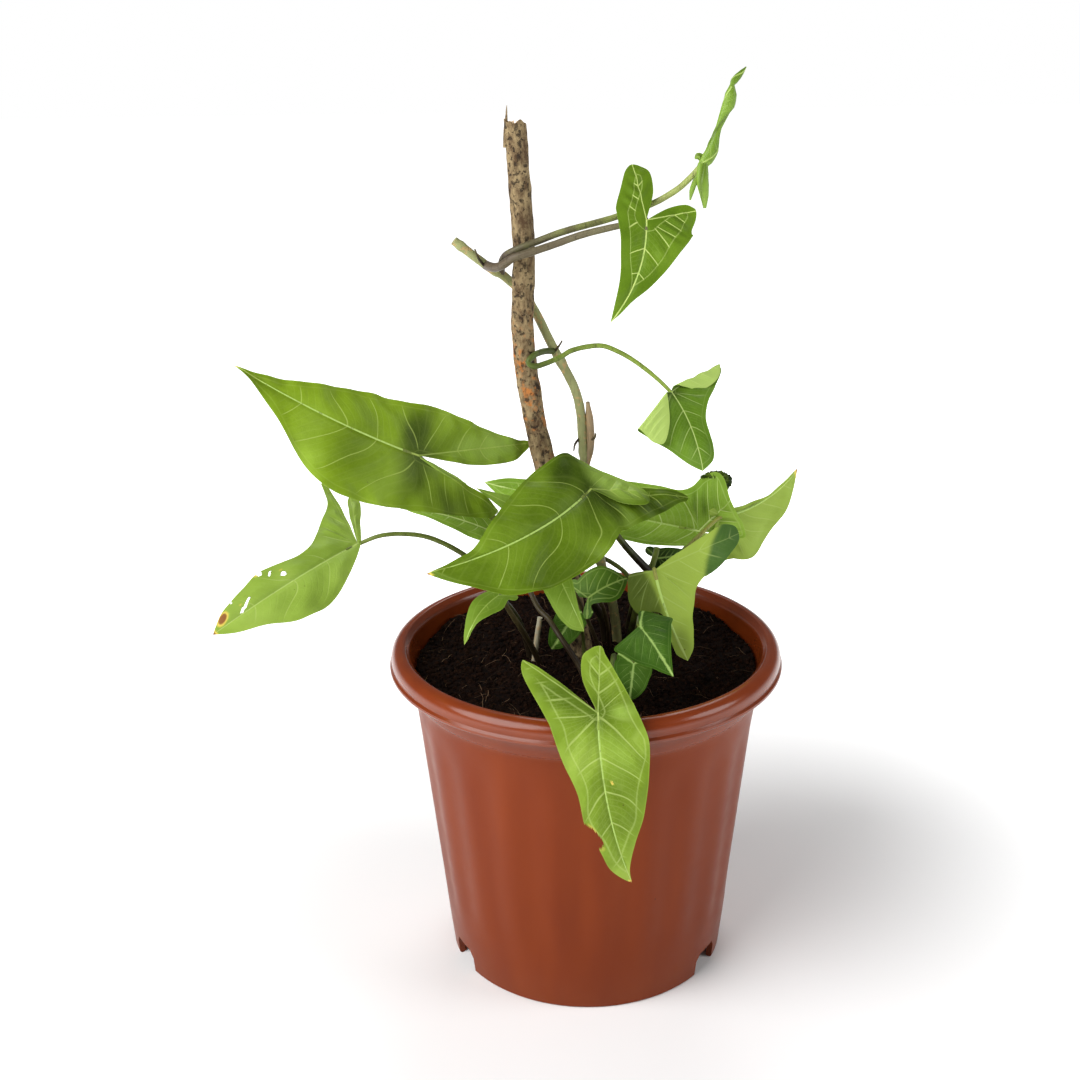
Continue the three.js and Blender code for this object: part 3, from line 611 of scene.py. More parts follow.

        # Blade colour: broad patches, fine mottle, painted shade round the stalk where the blade folds, and a
        # paler margin.
        broad = add("TexNoise", {"Vector": at, "Scale": per_mm(34), "Detail": 1.0})
        small = add("TexNoise", {"Vector": at, "Scale": per_mm(4), "Detail": 4.0, "Roughness": 0.6})
        tone = add("Mix", {0: 0.15, 2: broad, 3: small})
        deep = add("MapRange", {0: tone, 1: 0.32, 2: 0.52})
        pale = add("MapRange", {0: tone, 1: 0.5, 2: 0.7})
        # Painted shade round the stalk, where the blade folds.
        painted_heart_shade = add("MapRange", {
            0: heart, 1: 0.0, 2: self.heart_shade_size, 3: self.heart_shade_strength, 4: 0.0}, **SMOOTH)
        rim = add("MapRange", {0: edge, 1: 0.0, 2: 0.7, 3: 0.45, 4: 0.0})
        top = lay(
            add, self.shade, (deep, self.blade), (pale, self.light), (painted_heart_shade, self.heart), (rim, self.light))
        # Painted shade and painted light: the field "deep" darkens the blade towards the heart colour where it is
        # above 0, and lightens it towards the lit colour where it is below 0.
        painted_shade = add("Attribute", attribute_name="deep").outputs["Fac"]
        bright = add("MapRange", {0: painted_shade, 1: 0.0, 2: -1.0})
        layers = [(tone, self.under), (upper, top), (painted_shade, self.heart), (bright, self.painted_light_tint)]
        if self.halo_width:
            nearest = add("Math", {0: veins.outputs[0], 1: veins.outputs[1]}, operation="MINIMUM")
            blur = add("MapRange", {0: small, 1: 0.3, 2: 0.7, 3: 0.4, 4: 1.7})
            reach = add("Math", {0: nearest, 1: blur}, operation="MULTIPLY")
            glow = add("MapRange", {
                0: reach, 1: 0.1, 2: self.halo_width, 3: 0.95, 4: 0.0}, **SMOOTH)
            layers.append((glow, self.halo))

        # Small dark specks, and dry tissue that goes from yellow to brown.
        dots = add("TexVoronoi", {"Vector": at, "Scale": per_mm(9)})
        dot = add("MapRange", {0: dots, 1: 0.055, 2: 0.03, 3: 0.0, 4: self.specks * 3})
        ragged = add("MapRange", {0: small, 1: 0.3, 2: 0.7, 3: -0.15, 4: 0.15})
        wither = add("Math", {0: dry, 1: ragged}, operation="ADD")
        stage = add("Math", {0: wither, 1: dry}, operation="MINIMUM")
        yellow = add("MapRange", {0: stage, 1: 0.08, 2: 0.4})
        brown = add("MapRange", {0: stage, 1: 0.45, 2: 0.75})
        colour = lay(add, self.under_shade, *layers, (fine_mask, self.vein), (vein_mask, self.vein),
                     (dot, self.speck), (yellow, self.yellowed), (brown, self.browned))

        # Veins are sunken above and raised below.
        raised = add("MapRange", {0: upper, 3: 1.0, 4: -1.0})
        lift = add("Math", {0: vein_mask, 1: raised}, operation="MULTIPLY")
        relief = add("Math", {0: fine, 1: 0.25}, operation="MULTIPLY")
        relief = add("Math", {0: lift, 1: relief}, operation="SUBTRACT")
        cell = add("Math", {0: small, 1: 0.5}, operation="MULTIPLY")
        relief = add("Math", {0: relief, 1: cell}, operation="ADD")
        bump = add("Bump", {"Strength": 0.35, "Distance": 0.0006, "Height": relief})
        rough = add("MapRange", {0: upper, 3: self.roughness + 0.14, 4: self.roughness})
        shader = add("BsdfPrincipled", {
            "Base Color": colour, "Roughness": rough, "IOR": 1.33, "Specular IOR Level": self.gloss,
            "Normal": bump})
        add("OutputMaterial", {0: shader})
        return material


PLAIN = LeafFinish("leaf tissue, mature")
DEEP = LeafFinish("leaf tissue, deep green", shade="#40550B", blade="#566F14", light="#6B8622",
                  heart_shade_size=22.0)
SOFT = LeafFinish("leaf tissue, small and soft", shade="#536C1A", blade="#668226", light="#7E9A3C",
                  rib_width=0.34, rib_strength=0.4, vein_width=0.32, vein_strength=0.22, heart_shade_strength=0.0)
# Its underside is paler than in the other finishes: partly the underside's own pale tone, partly painted light
# shining through the thin folded-over tissue.
FOLDED = LeafFinish("leaf tissue, folded over", shade="#4F6E18", blade="#628424", light="#789A36",
                    under="#B2CA70", under_shade="#9DB857", vein="#C0D480", rib_width=0.4, vein_width=0.34,
                    heart_shade_size=9.0)
FRESH = LeafFinish("leaf tissue, fresh", shade="#5F771C", blade="#748E2A", light="#90A944", vein="#B4C672",
                   vein_width=0.6, vein_strength=0.42, fine_strength=0.12, ring_inset=3.8, ring_strength=0.3,
                   heart="#33480F", heart_shade_strength=0.5, heart_shade_size=11, specks=0.2)
PALE = LeafFinish("leaf tissue, pale", shade="#768F33", blade="#85A03C", light="#93AD4A", vein="#B5C873",
                  heart_shade_strength=0.0, vein_strength=0.3, ring_strength=0.0, fine_strength=0.04)
MARBLED = LeafFinish("leaf tissue, marbled", shade="#4E6A15", blade="#5D7A1B", light="#6E8C28",
                     vein="#BFD178", vein_width=0.34, vein_strength=0.72, rib_width=0.42, rib_strength=0.9,
                     vein_stop=4.0, vein_fade=0.6, ring_inset=4.4, ring_strength=0.28, fine_strength=0.05, heart_shade_strength=0.0)
VEINED = LeafFinish("leaf tissue, veined", shade="#33500F", blade="#426118", light="#567523", vein="#9DB45E",
                    vein_strength=0.5, ring_inset=1.6, ring_strength=0.35, fine_strength=0.08, heart_shade_strength=0.0)
DARK_MARBLED = LeafFinish("leaf tissue, dark marbled", shade="#24400E", blade="#395A16", light="#4F7224",
                          under="#6F8F3C", under_shade="#58772E", vein="#98B464", rib_width=0.26,
                          halo_width=0.9, halo="#9FBC66", vein_width=0.26, vein_strength=0.28,
                          ring_strength=0.12, ring_inset=1.2, heart_shade_strength=0.0, fine_strength=0.12)
NETTED = LeafFinish("leaf tissue, netted", shade="#6B8C2A", blade="#7D9E34", light="#93B248", vein="#C3D684",
                    under="#93B248", under_shade="#7A9A36", vein_strength=0.55, fine_strength=0.12,
                    ring_strength=0.2, heart_shade_strength=0.0, halo_width=0.4)
UNDERSIDE = LeafFinish("leaf tissue, seen from below", under="#97B04A", under_shade="#809839", vein="#B0C272",
                       vein_strength=0.25, ring_strength=0.0, fine_strength=0.04, specks=0.25)
# Its upper-face colours are painted shade: where the blade hangs and turns over, that face is turned from the
# light.
HANGING_IN_SHADE = LeafFinish("leaf tissue, drooping, upper face in painted shade", shade="#2E4819", blade="#3A5722", light="#4A692E",
                     heart="#36450F", under="#97AE48", under_shade="#7F9538", vein="#A9BC6E",
                     vein_strength=0.25, ring_strength=0.0, fine_strength=0.04, heart_shade_strength=0.0, specks=0.25)
YOUNG = LeafFinish("leaf tissue, young and glossy", shade="#4E6C16", blade="#6C8B2A", light="#84A040",
                   vein="#A9C065", vein_strength=0.2, ring_strength=0.0, fine_strength=0.06, heart_shade_strength=0.0,
                   gloss=0.5, roughness=0.32)
DARK = LeafFinish("leaf tissue, old", shade="#2C4318", blade="#3C5A20", light="#52702C", under="#6E8A44",
                  under_shade="#58733A", vein="#8FAA5A")

OLIVE = StalkFinish("leaf stalk, olive", foot="#221A10", head="#66742E")
BROWN = StalkFinish("leaf stalk, brown", foot="#271B12", head="#4C4428")
GREY = StalkFinish("leaf stalk, grey-brown", foot="#54493A", head="#6E6A4C")
GREEN = StalkFinish("leaf stalk, green", foot="#434E20", head="#849A3E")
RED = StalkFinish("leaf stalk, red-brown", foot="#2A1C12", head="#87893F")
FADING = StalkFinish("leaf stalk, fading to green", foot="#4F4538", head="#8F9A52")
OLD_STEM = StalkFinish("old stem", foot="#6B6A44", head="#8E9160", scurf=0.6, streak="#4A4030")
DEAD_STEM = StalkFinish("dead stem", foot="#7C7562", head="#A8A28A", scurf=0.5, streak="#43382C")
SHEATH = StalkFinish("dead sheath", foot="#7A684E", head="#8E7A5C", scurf=0.4)


# ---- Stems, by Geometry Nodes ----


@dataclass(frozen=True)
class Strand:
    """One length of stem: its route, its radii from end to end and its rings.

    A knot is (share of the length, extra radius, half width), in millimetres but for the share.
    """

    route: Route
    radii: tuple[float, ...]
    knots: tuple[tuple[float, float, float], ...] = ()
    reach: float = 1.0
    start: float = 0.0

    def sampled(self, spacing: float) -> tuple[Array, Array, Array]:
        """Returns the middle line, the radius and the place along it for each of its points."""
        line = stem_line(np.array(self.route, dtype=float), spacing)
        share = np.linspace(0, 1, len(line))
        radius = np.interp(share, np.linspace(0, 1, len(self.radii)), self.radii)
        length = np.linalg.norm(np.diff(line, axis=0), axis=1).sum()
        for centre, extra, width in self.knots:
            radius = radius + extra * np.exp(-(((share - centre) * length / width) ** 2))
        return line, radius, self.start + share * (self.reach - self.start)


@dataclass
class StemGrower:
    """Turns strands into round stems with one Geometry Nodes tree."""

    sides: int = 16
    spacing: float = 1.2
    tree: bpy.types.NodeTree | None = None

    def grow_tree(self) -> bpy.types.NodeTree:
        """Returns the tree, made once: a line becomes a tube whose skin is a little uneven."""
        if self.tree:
            return self.tree
        tree, add = new_tree("Stem skin", {
            "Sides": "Int", "Knob Scale": "Float", "Knob Height": "Float", "Finish": "Material"})
        given = add("NodeGroupInput")
        girth = add("GeometryNodeInputNamedAttribute", {"Name": "girth"}, data_type="FLOAT")
        line = add("GeometryNodeMeshToCurve", {0: given.outputs["Geometry"]})
        ring = add("GeometryNodeCurvePrimitiveCircle", {
            "Resolution": given.outputs["Sides"], "Radius": 1.0}, mode="RADIUS")
        tube = add("GeometryNodeCurveToMesh", {
            "Curve": line, "Profile Curve": ring, "Scale": girth, "Fill Caps": True})
        knob = add("TexNoise", {"Scale": given.outputs["Knob Scale"], "Detail": 2.0})
        even = add("Math", {0: knob, 1: 0.5}, operation="SUBTRACT")
        height = add("Math", {0: even, 1: given.outputs["Knob Height"]}, operation="MULTIPLY")
        push = add("VectorMath", {
            0: add("GeometryNodeInputNormal"), "Scale": height}, operation="SCALE")
        moved = add("GeometryNodeSetPosition", {"Geometry": tube, "Offset": push})
        smooth = add("GeometryNodeSetShadeSmooth", {0: moved, "Shade Smooth": True})
        real = add("GeometryNodeRealizeInstances", {0: smooth})
        done = add("GeometryNodeSetMaterial", {"Geometry": real, "Material": given.outputs["Finish"]})
        add("NodeGroupOutput", {0: done})
        self.tree = tree
        return tree

    def grow(self, name: str, strands: list[Strand], finish: bpy.types.Material, sides: int = 0,
             knob_size: float = 5.0, knob_height: float = 0.1) -> bpy.types.Object:
        """Grows strands into one piece.

        Args:
            name: The piece's name.
            strands: The lengths of stem.
            finish: Its material.
            sides: Faces round a stem, or 0 for the usual count.
            knob_size: Width of one unevenness, in millimetres.
            knob_height: Its height, in millimetres.

        Returns:
            A plain mesh object.
        """
        points, edges, girths, alongs = [], [], [], []
        for strand in strands:
            line, radius, along = strand.sampled(self.spacing)
            first = sum(len(part) for part in points)
            edges += [(first + i, first + i + 1) for i in range(len(line) - 1)]
            points.append(line * MM)
            girths.append(radius * MM)
            alongs.append(along)
        mesh = bpy.data.meshes.new(name + "_line")
        mesh.from_pydata(np.vstack(points).tolist(), edges, [])
        for key, values in (("girth", girths), ("along", alongs)):
            mesh.attributes.new(key, "FLOAT", "POINT").data.foreach_set("value", np.concatenate(values))
        return run_tree(new_object(name + "_line", mesh), self.grow_tree(), name, {
            "Sides": sides or self.sides, "Knob Scale": per_mm(knob_size), "Knob Height": knob_height * MM,
            "Finish": finish})


def run_tree(host: bpy.types.Object, tree: bpy.types.NodeTree, name: str,
             values: dict[str, Any]) -> bpy.types.Object:
    """Runs a Geometry Nodes tree on an object and keeps only its result.

    Args:
        host: The object that the tree starts from. It is removed.
        tree: The tree.
        name: Name of the result.
        values: The tree's named inputs.

    Returns:
        A plain mesh object with no modifier.
    """
    modifier = host.modifiers.new("Tree", "NODES")
    modifier.node_group = tree
    for item in tree.interface.items_tree:
        if item.item_type == "SOCKET" and item.in_out == "INPUT" and item.name in values:
            modifier[item.identifier] = values[item.name]
    graph = bpy.context.evaluated_depsgraph_get()
    mesh = bpy.data.meshes.new_from_object(host.evaluated_get(graph), depsgraph=graph)
    mesh.name = name
    host.modifiers.remove(modifier)
    bpy.data.objects.remove(host)
    return new_object(name, mesh)


GROWER = StemGrower()


# ---- Camera and studio ----


@dataclass
class StudioCamera:
    """The camera, at the height of the leaves and looking a little down."""

    place: Point = (-22.4, -704.3, 482.8)
    pitch_deg: float = 20.03
    roll_rad: float = -0.0143
    lens: float = 50.0
    sensor: float = 36.0

    def build(self) -> None:
        """Makes the camera and makes it the scene's."""
        data = bpy.data.cameras.new("camera")
        data.lens = self.lens
        data.sensor_width = self.sensor
        data.clip_start = 0.01
        data.dof.use_dof = False
        camera = new_object("camera", data)
        pitch = math.radians(self.pitch_deg)
        ahead = Vector((0, math.cos(pitch), -math.sin(pitch)))
        right, up = Vector((1, 0, 0)), Vector((0, math.sin(pitch), math.cos(pitch)))
        cos, sin = math.cos(self.roll_rad), math.sin(self.roll_rad)
        axes = Matrix((cos * right + sin * up, -sin * right + cos * up, -ahead)).transposed()
        camera.matrix_world = Matrix.Translation(Vector(self.place) * MM) @ axes.to_4x4()
        bpy.context.scene.camera = camera


@dataclass
class Studio:
    """A pale floor and soft light: a broad lamp to each side of the front, and a dim sky.

    A lamp is (name, place, width, watts). The floor turns bright by itself well away from the plant,
    and so does the sky near the horizon, so that neither shows where they meet.
    """

    floor_half: float = 6000.0
    sky: float = 0.16
    bright_from: float = 120.0
    bright_at: float = 620.0
    aim: Point = (0.0, 0.0, 0.22)
    lamps:tuple[tuple[str, Point, float, float], ...] = (
        ("key", (-1200.0, -800.0, 1200.0), 1700.0, 44.0),
        ("fill", (1300.0, -350.0, 800.0), 800.0, 8.0),
        ("back", (200.0, 1100.0, 1500.0), 900.0, 8.0),
    )

    def sky_light(self) -> None:
        """Makes the sky: white at the horizon and dim above it."""
        world = bpy.data.worlds.new("studio")
        world.use_nodes = True
        world.node_tree.nodes.clear()
        add = partial(add_node, world.node_tree)
        way = add("SeparateXYZ", {0: add("TexCoord").outputs["Generated"]})
        level = add("MapRange", {0: way.outputs["Z"], 1: 0.02, 2: 0.1, 3: 1.0, 4: self.sky})
        back = add("Background", {0: (1.0, 1.0, 1.0, 1.0), 1: level})
        add("OutputWorld", {0: back})
        bpy.context.scene.world = world

    def floor(self) -> None:
        """Makes the floor."""
        paper, add = new_material("matt white paper")
        at = add("TexCoord").outputs["Object"]
        away = add("VectorMath", {0: at}, operation="LENGTH").outputs["Value"]
        glow = add("MapRange", {
            0: away, 1: self.bright_from * MM, 2: self.bright_at * MM, 3: 0.0, 4: 1.0}, **SMOOTH)
        shader = add("BsdfPrincipled", {
            "Base Color": (0.93, 0.93, 0.93, 1.0), "Roughness": 0.9, "Specular IOR Level": 0.1,
            "Emission Color": (1.0, 1.0, 1.0, 1.0), "Emission Strength": glow})
        add("OutputMaterial", {0: shader})
        corners = self.floor_half * np.array([(-1, -1, 0), (1, -1, 0), (1, 1, 0), (-1, 1, 0)], dtype=float)
        mesh_piece("floor", corners, [(0, 1, 2, 3)], paper)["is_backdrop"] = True

    def build(self) -> None:
        """Makes the floor, the sky and the lamps."""
        bpy.context.scene.view_settings.view_transform = "Standard"
        self.sky_light()
        self.floor()
        for name, place, width, watts in self.lamps:
            lamp = bpy.data.lights.new(name, "AREA")
            lamp.energy = watts
            lamp.shape = "DISK"
            lamp.size = width * MM
            holder = new_object(name, lamp)
            holder.location = Vector(place) * MM
            aim = Vector(self.aim) - holder.location
            holder.rotation_euler = aim.to_track_quat("-Z", "Y").to_euler()


# ---- Pot ----


@dataclass
class PlantPot:
    """A thin round pot with shallow flutes, a rolled rim and a raised channel under its foot."""

    height: float = 172.4
    rim_radius: float = 100.0
    rim_edge: float = 163.0
    lip_radius: float = 92.0
    collar_foot: float = 150.0
    foot_radius: float = 72.3
    taper: float = 0.105
    wall: float = 2.4
    floor: float = 3.0
    flutes: int = 22
    flute_depth: float = 0.9
    first_ridge: float = -102.5
    channel: float = 13.0
    pad_radius: float = 58.0
    neck: float = 87.4
    soil_height: float = 160.0
    notches: tuple[float, ...] = (-153.0, -33.0, 87.0)
    notch_foot: float = 19.0
    notch_head: float = 13.0
    notch_height: float = 12.4
    drain_radius: float = 4.5
    drain_ring: float = 64.5
    drains: int = 6
    drain_sides: int = 24
    sharp: float = 38.0
    steps: int = 12
    plastic: PotPlastic = field(default_factory=PotPlastic)

    def reach(self, height: float) -> float:
        """Returns the wall's outer radius at a height."""
        return self.foot_radius + self.taper * height

    def profile(self) -> list[tuple[float, float, float]]:
        """Returns the section as (radius, height, flute share) rows, from the underside out, up and in."""
        collar = self.reach(self.collar_foot) + 0.4
        top = self.channel + self.floor
        rim, edge = self.rim_radius, self.rim_edge
        foot = [
            (self.pad_radius - 0.8, 0), (self.pad_radius, 0.6), (self.pad_radius + 1.3, self.channel - 1),
            (self.pad_radius + 2.2, self.channel), (self.reach(self.channel) - self.wall - 1.2, self.channel),
            (self.foot_radius - self.wall - 0.6, 0.5), (self.foot_radius - self.wall, 0),
            (self.foot_radius - 0.7, 0), (self.foot_radius, 0.7),
        ]
        fluted = [(self.reach(height), height, share) for height, share in (
            (20, 0), (26, 0.02), (32, 0.3), (38, 0.8), (44, 1), (70, 1), (98, 1), (124, 1), (130, 0.85),
            (136, 0.35), (141, 0.05), (144, 0), (148.6, 0))]
        band = [(collar + out, height) for out, height in (
            (0.5, 149.8), (0.9, 150.6), (1.2, 155.4), (1.0, 156.2), (1.5, 157), (1.8, edge - 3.2),
            (2.8, edge - 2.2))]
        rolled = [(rim - back, edge + up) for back, up in (
            (1.8, -1.9), (0.5, -1.6), (0, -0.9), (0.1, 0.1), (0.7, 0.7), (1.15, 1.2), (1.1, 1.9), (0.85, 2.8),
            (0.9, 4.2), (1.25, 5.6), (1.9, 6.9), (2.9, 8.0), (4.2, 8.8), (5.6, 9.2))]
        lip = [(self.lip_radius - back, self.height - down) for back, down in (
            (-1.0, 0), (0, 0.4), (0.5, 1.2), (1.5, 2.0), (2.2, 2.8), (2.7, 5))]
        inside = [(self.neck, self.soil_height - 2), (self.reach(top) - self.wall - 0.6, top),
                  (self.pad_radius, top), (self.pad_radius - 1.6, self.floor)]
        above = [(self.reach(149.2) + 0.3, 149.3), *band, *rolled, *lip, *inside]
        rows = [*[(*row, 0) for row in foot], *fluted, *[(*row, 0) for row in above]]
        return [(float(r), float(h), float(d)) for r, h, d in rows]

    def shell(self) -> tuple[Array, Faces]:
        """Returns the turned body's points and faces, before the notches are cut."""
        segments = self.flutes * self.steps
        turn = np.radians(self.first_ridge) + 2 * np.pi * np.arange(segments) / segments
        hollow = 0.5 - 0.5 * np.cos(self.flutes * (turn - turn[0]))
        rings = []
        for radius, height, share in self.profile():
            reach = radius - share * self.flute_depth * hollow
            level = np.full(segments, height)
            rings.append(np.column_stack([reach * np.cos(turn), reach * np.sin(turn), level]))
        return np.vstack(rings), skin(rings)

    def cutters(self) -> list[bpy.types.Object]:
        """Returns the blocks that cut the notches and the rods that drill the drain holes."""
        half, head, top = self.notch_foot / 2, self.notch_head / 2, self.notch_height
        outline = [(-half, -1.0), (half, -1.0), (half, top - 4), (head, top), (-head, top), (-half, top - 4)]
        shapes = []
        for number, degrees in enumerate(self.notches):
            out = np.radians(degrees)
            ahead, left = np.array([np.cos(out), np.sin(out)]), np.array([-np.sin(out), np.cos(out)])
            rings = [
                np.array([[*(ahead * reach + left * across), height] for across, height in outline])
                for reach in (self.foot_radius - 6.5, self.foot_radius + 14)
            ]
            shapes.append((f"notch_{number}", rings))
        circle = turns(self.drain_sides)
        for number in range(self.drains):
            out = np.radians(self.notches[0]) + 2 * np.pi * number / self.drains
            centre = self.drain_ring * np.array([np.cos(out), np.sin(out)])
            around = centre + self.drain_radius * np.stack([np.cos(circle), np.sin(circle)], axis=1)
            rings = [np.column_stack([around, np.full(self.drain_sides, level)])
                     for level in (self.channel - 3, self.channel + 6)]
            shapes.append((f"drain_{number}", rings))
        plain = bpy.data.materials.new("cutter")
        return [mesh_piece(name, np.vstack(rings), skin(rings), plain) for name, rings in shapes]

    def build(self) -> None:
        """Makes the pot, cuts its notches and holes, and dresses it."""
        points, faces = self.shell()
        pot = mesh_piece("pot_shell", points, faces, self.plastic.material(), sharp=self.sharp)
        tools = self.cutters()
        for tool in tools:
            cut = pot.modifiers.new(tool.name, "BOOLEAN")
            cut.operation = "DIFFERENCE"
            cut.solver = "MANIFOLD"
            cut.object = tool
        graph = bpy.context.evaluated_depsgraph_get()
        mesh = bpy.data.meshes.new_from_object(pot.evaluated_get(graph), depsgraph=graph)
        pot.modifiers.clear()
        pot.data = mesh
        mesh.shade_smooth()
        mesh.set_sharp_from_angle(angle=math.radians(self.sharp))
        for tool in tools:
            bpy.data.objects.remove(tool)
        dress(pot, Slot.POT, "pot")


# ---- Soil ----


@dataclass
class SoilBed:
    """Compost that fills the pot: a lumpy bed with crumbs and root fibres on it."""

    height: float = 160.0
    back_rise: float = 4.0
    lump: float = 1.3
    radius: float = 86.4
    foot_share: float = 0.97
    depth: float = 12.0
    clod_height: float = 1.3
    clod_width: float = 7.0
    grain_height: float = 0.8
    grain_width: float = 2.6
    rings: int = 60
    spokes: int = 220
    crumbs: float = 0.24
    fibres: float = 0.009
    soil: PottingSoil = field(default_factory=PottingSoil)

    def top(self, x: Array, y: Array) -> Array:
        """Returns the height of the bed at points."""
        lumps = self.lump * np.sin(x / 9 + 1) * np.cos(y / 11 + x / 30)
        return self.height + lumps + self.back_rise * ease(y, 0, 80)

    def bed(self) -> bpy.types.Object:
        """Returns the bed as a closed disc with a rough top."""
        turn = turns(self.spokes)
        foot = self.radius * self.foot_share
        rings = [np.column_stack([foot * np.cos(turn), foot * np.sin(turn),
                                  np.full(self.spokes, self.height - self.depth)])]
        for step in range(self.rings, 0, -1):
            reach = self.radius * step / self.rings
            x, y = reach * np.cos(turn), reach * np.sin(turn)
            rings.append(np.stack([x, y, self.top(x, y)], axis=1))
        points = np.vstack(rings)
        upper = slice(self.spokes, None)
        rough = self.clod_height * ripple_noise(points[upper], self.clod_width)
        points[upper, 2] += rough + self.grain_height * ripple_noise(points[upper], self.grain_width, 9)
        return mesh_piece("soil_bed", points, skin(rings), self.soil.material("bed"), sharp=80)

    def scatter_tree(self, kind: str) -> bpy.types.NodeTree:
        """Builds the tree that scatters crumbs or fibres over the bed.

        Args:
            kind: "crumbs" or "fibres".

        Returns:
            The tree.
        """
        tree, add = new_tree(f"Scatter {kind}", {
            "Per Square Metre": "Float", "Smallest": "Float", "Largest": "Float", "Finish": "Material"})
        given = add("NodeGroupInput")
        normal = add("SeparateXYZ", {0: add("GeometryNodeInputNormal")})
        facing = add("Math", {0: normal.outputs["Z"], 1: 0.4}, operation="GREATER_THAN")
        spots = add("GeometryNodeDistributePointsOnFaces", {
            "Mesh": given.outputs["Geometry"], "Selection": facing,
            "Density": given.outputs["Per Square Metre"], "Seed": 5}, distribute_method="RANDOM")
        if kind == "crumbs":
            shape = add("GeometryNodeMeshIcoSphere", {"Radius": 1.0, "Subdivisions": 1})
            turn = add("FunctionNodeRandomValue", {
                "Min": (0.0, 0.0, 0.0), "Max": (6.28, 6.28, 6.28), "Seed": 2}, data_type="FLOAT_VECTOR")
        else:
            line = add("GeometryNodeCurvePrimitiveBezierSegment", {
                "Resolution": 6, "Start": (-1.0, 0.0, 0.0), "Start Handle": (-0.4, 0.2, 0.25),
                "End Handle": (0.4, -0.15, 0.35), "End": (1.0, 0.05, 0.1)})
            ring = add("GeometryNodeCurvePrimitiveCircle", {"Resolution": 4, "Radius": 0.018})
            shape = add("GeometryNodeCurveToMesh", {"Curve": line, "Profile Curve": ring, "Fill Caps": True})
            turn = add("FunctionNodeRandomValue", {
                "Min": (-0.35, -0.6, 0.0), "Max": (0.35, 0.6, 6.28), "Seed": 2}, data_type="FLOAT_VECTOR")
        size = add("FunctionNodeRandomValue", {
            2: given.outputs["Smallest"], 3: given.outputs["Largest"], "Seed": 3}, data_type="FLOAT")
        placed = add("GeometryNodeInstanceOnPoints", {
            "Points": spots, "Instance": shape, "Rotation": turn, "Scale": size.outputs[1]})
        tone = add("FunctionNodeRandomValue", {"Seed": 8}, data_type="FLOAT")
        toned = add("GeometryNodeStoreNamedAttribute", {
            "Geometry": placed, "Name": "tone", "Value": tone.outputs[1]},
            data_type="FLOAT", domain="INSTANCE")
        real = add("GeometryNodeRealizeInstances", {0: toned})
        dent = add("TexNoise", {"Scale": per_mm(2.0), "Detail": 2.0})
        even = add("VectorMath", {0: dent.outputs["Color"], 1: (0.5, 0.5, 0.5)}, operation="SUBTRACT")
        push = add("VectorMath", {0: even, "Scale": 0.0018}, operation="SCALE")
        moved = add("GeometryNodeSetPosition", {"Geometry": real, "Offset": push})
        done = add("GeometryNodeSetMaterial", {"Geometry": moved, "Material": given.outputs["Finish"]})
        add("NodeGroupOutput", {0: done})
        return tree

    def scatter(self, bed: bpy.types.Object, kind: str, density: float,
                sizes: tuple[float, float]) -> bpy.types.Object:
        """Scatters crumbs or fibres over the bed.

        Args:
            bed: The bed.
            kind: "crumbs" or "fibres".
            density: How many lie on a square millimetre.
            sizes: Smallest and largest half length, in millimetres.

        Returns:
            The new piece.
        """
        host = new_object("soil_host", bed.data.copy())
        return run_tree(host, self.scatter_tree(kind), f"soil_{kind}", {
            "Per Square Metre": density / MM**2, "Smallest": sizes[0] * MM, "Largest": sizes[1] * MM,
            "Finish": self.soil.material(kind)})

    def build(self) -> None:
        """Makes the bed and what lies on it."""
        bed = self.bed()
        crumbs = self.scatter(bed, "crumbs", self.crumbs, (0.4, 1.4))
        fibres = self.scatter(bed, "fibres", self.fibres, (2.0, 6.5))
        for piece in (bed, crumbs, fibres):
            dress(piece, Slot.SOIL, "soil")


# ---- Branch ----


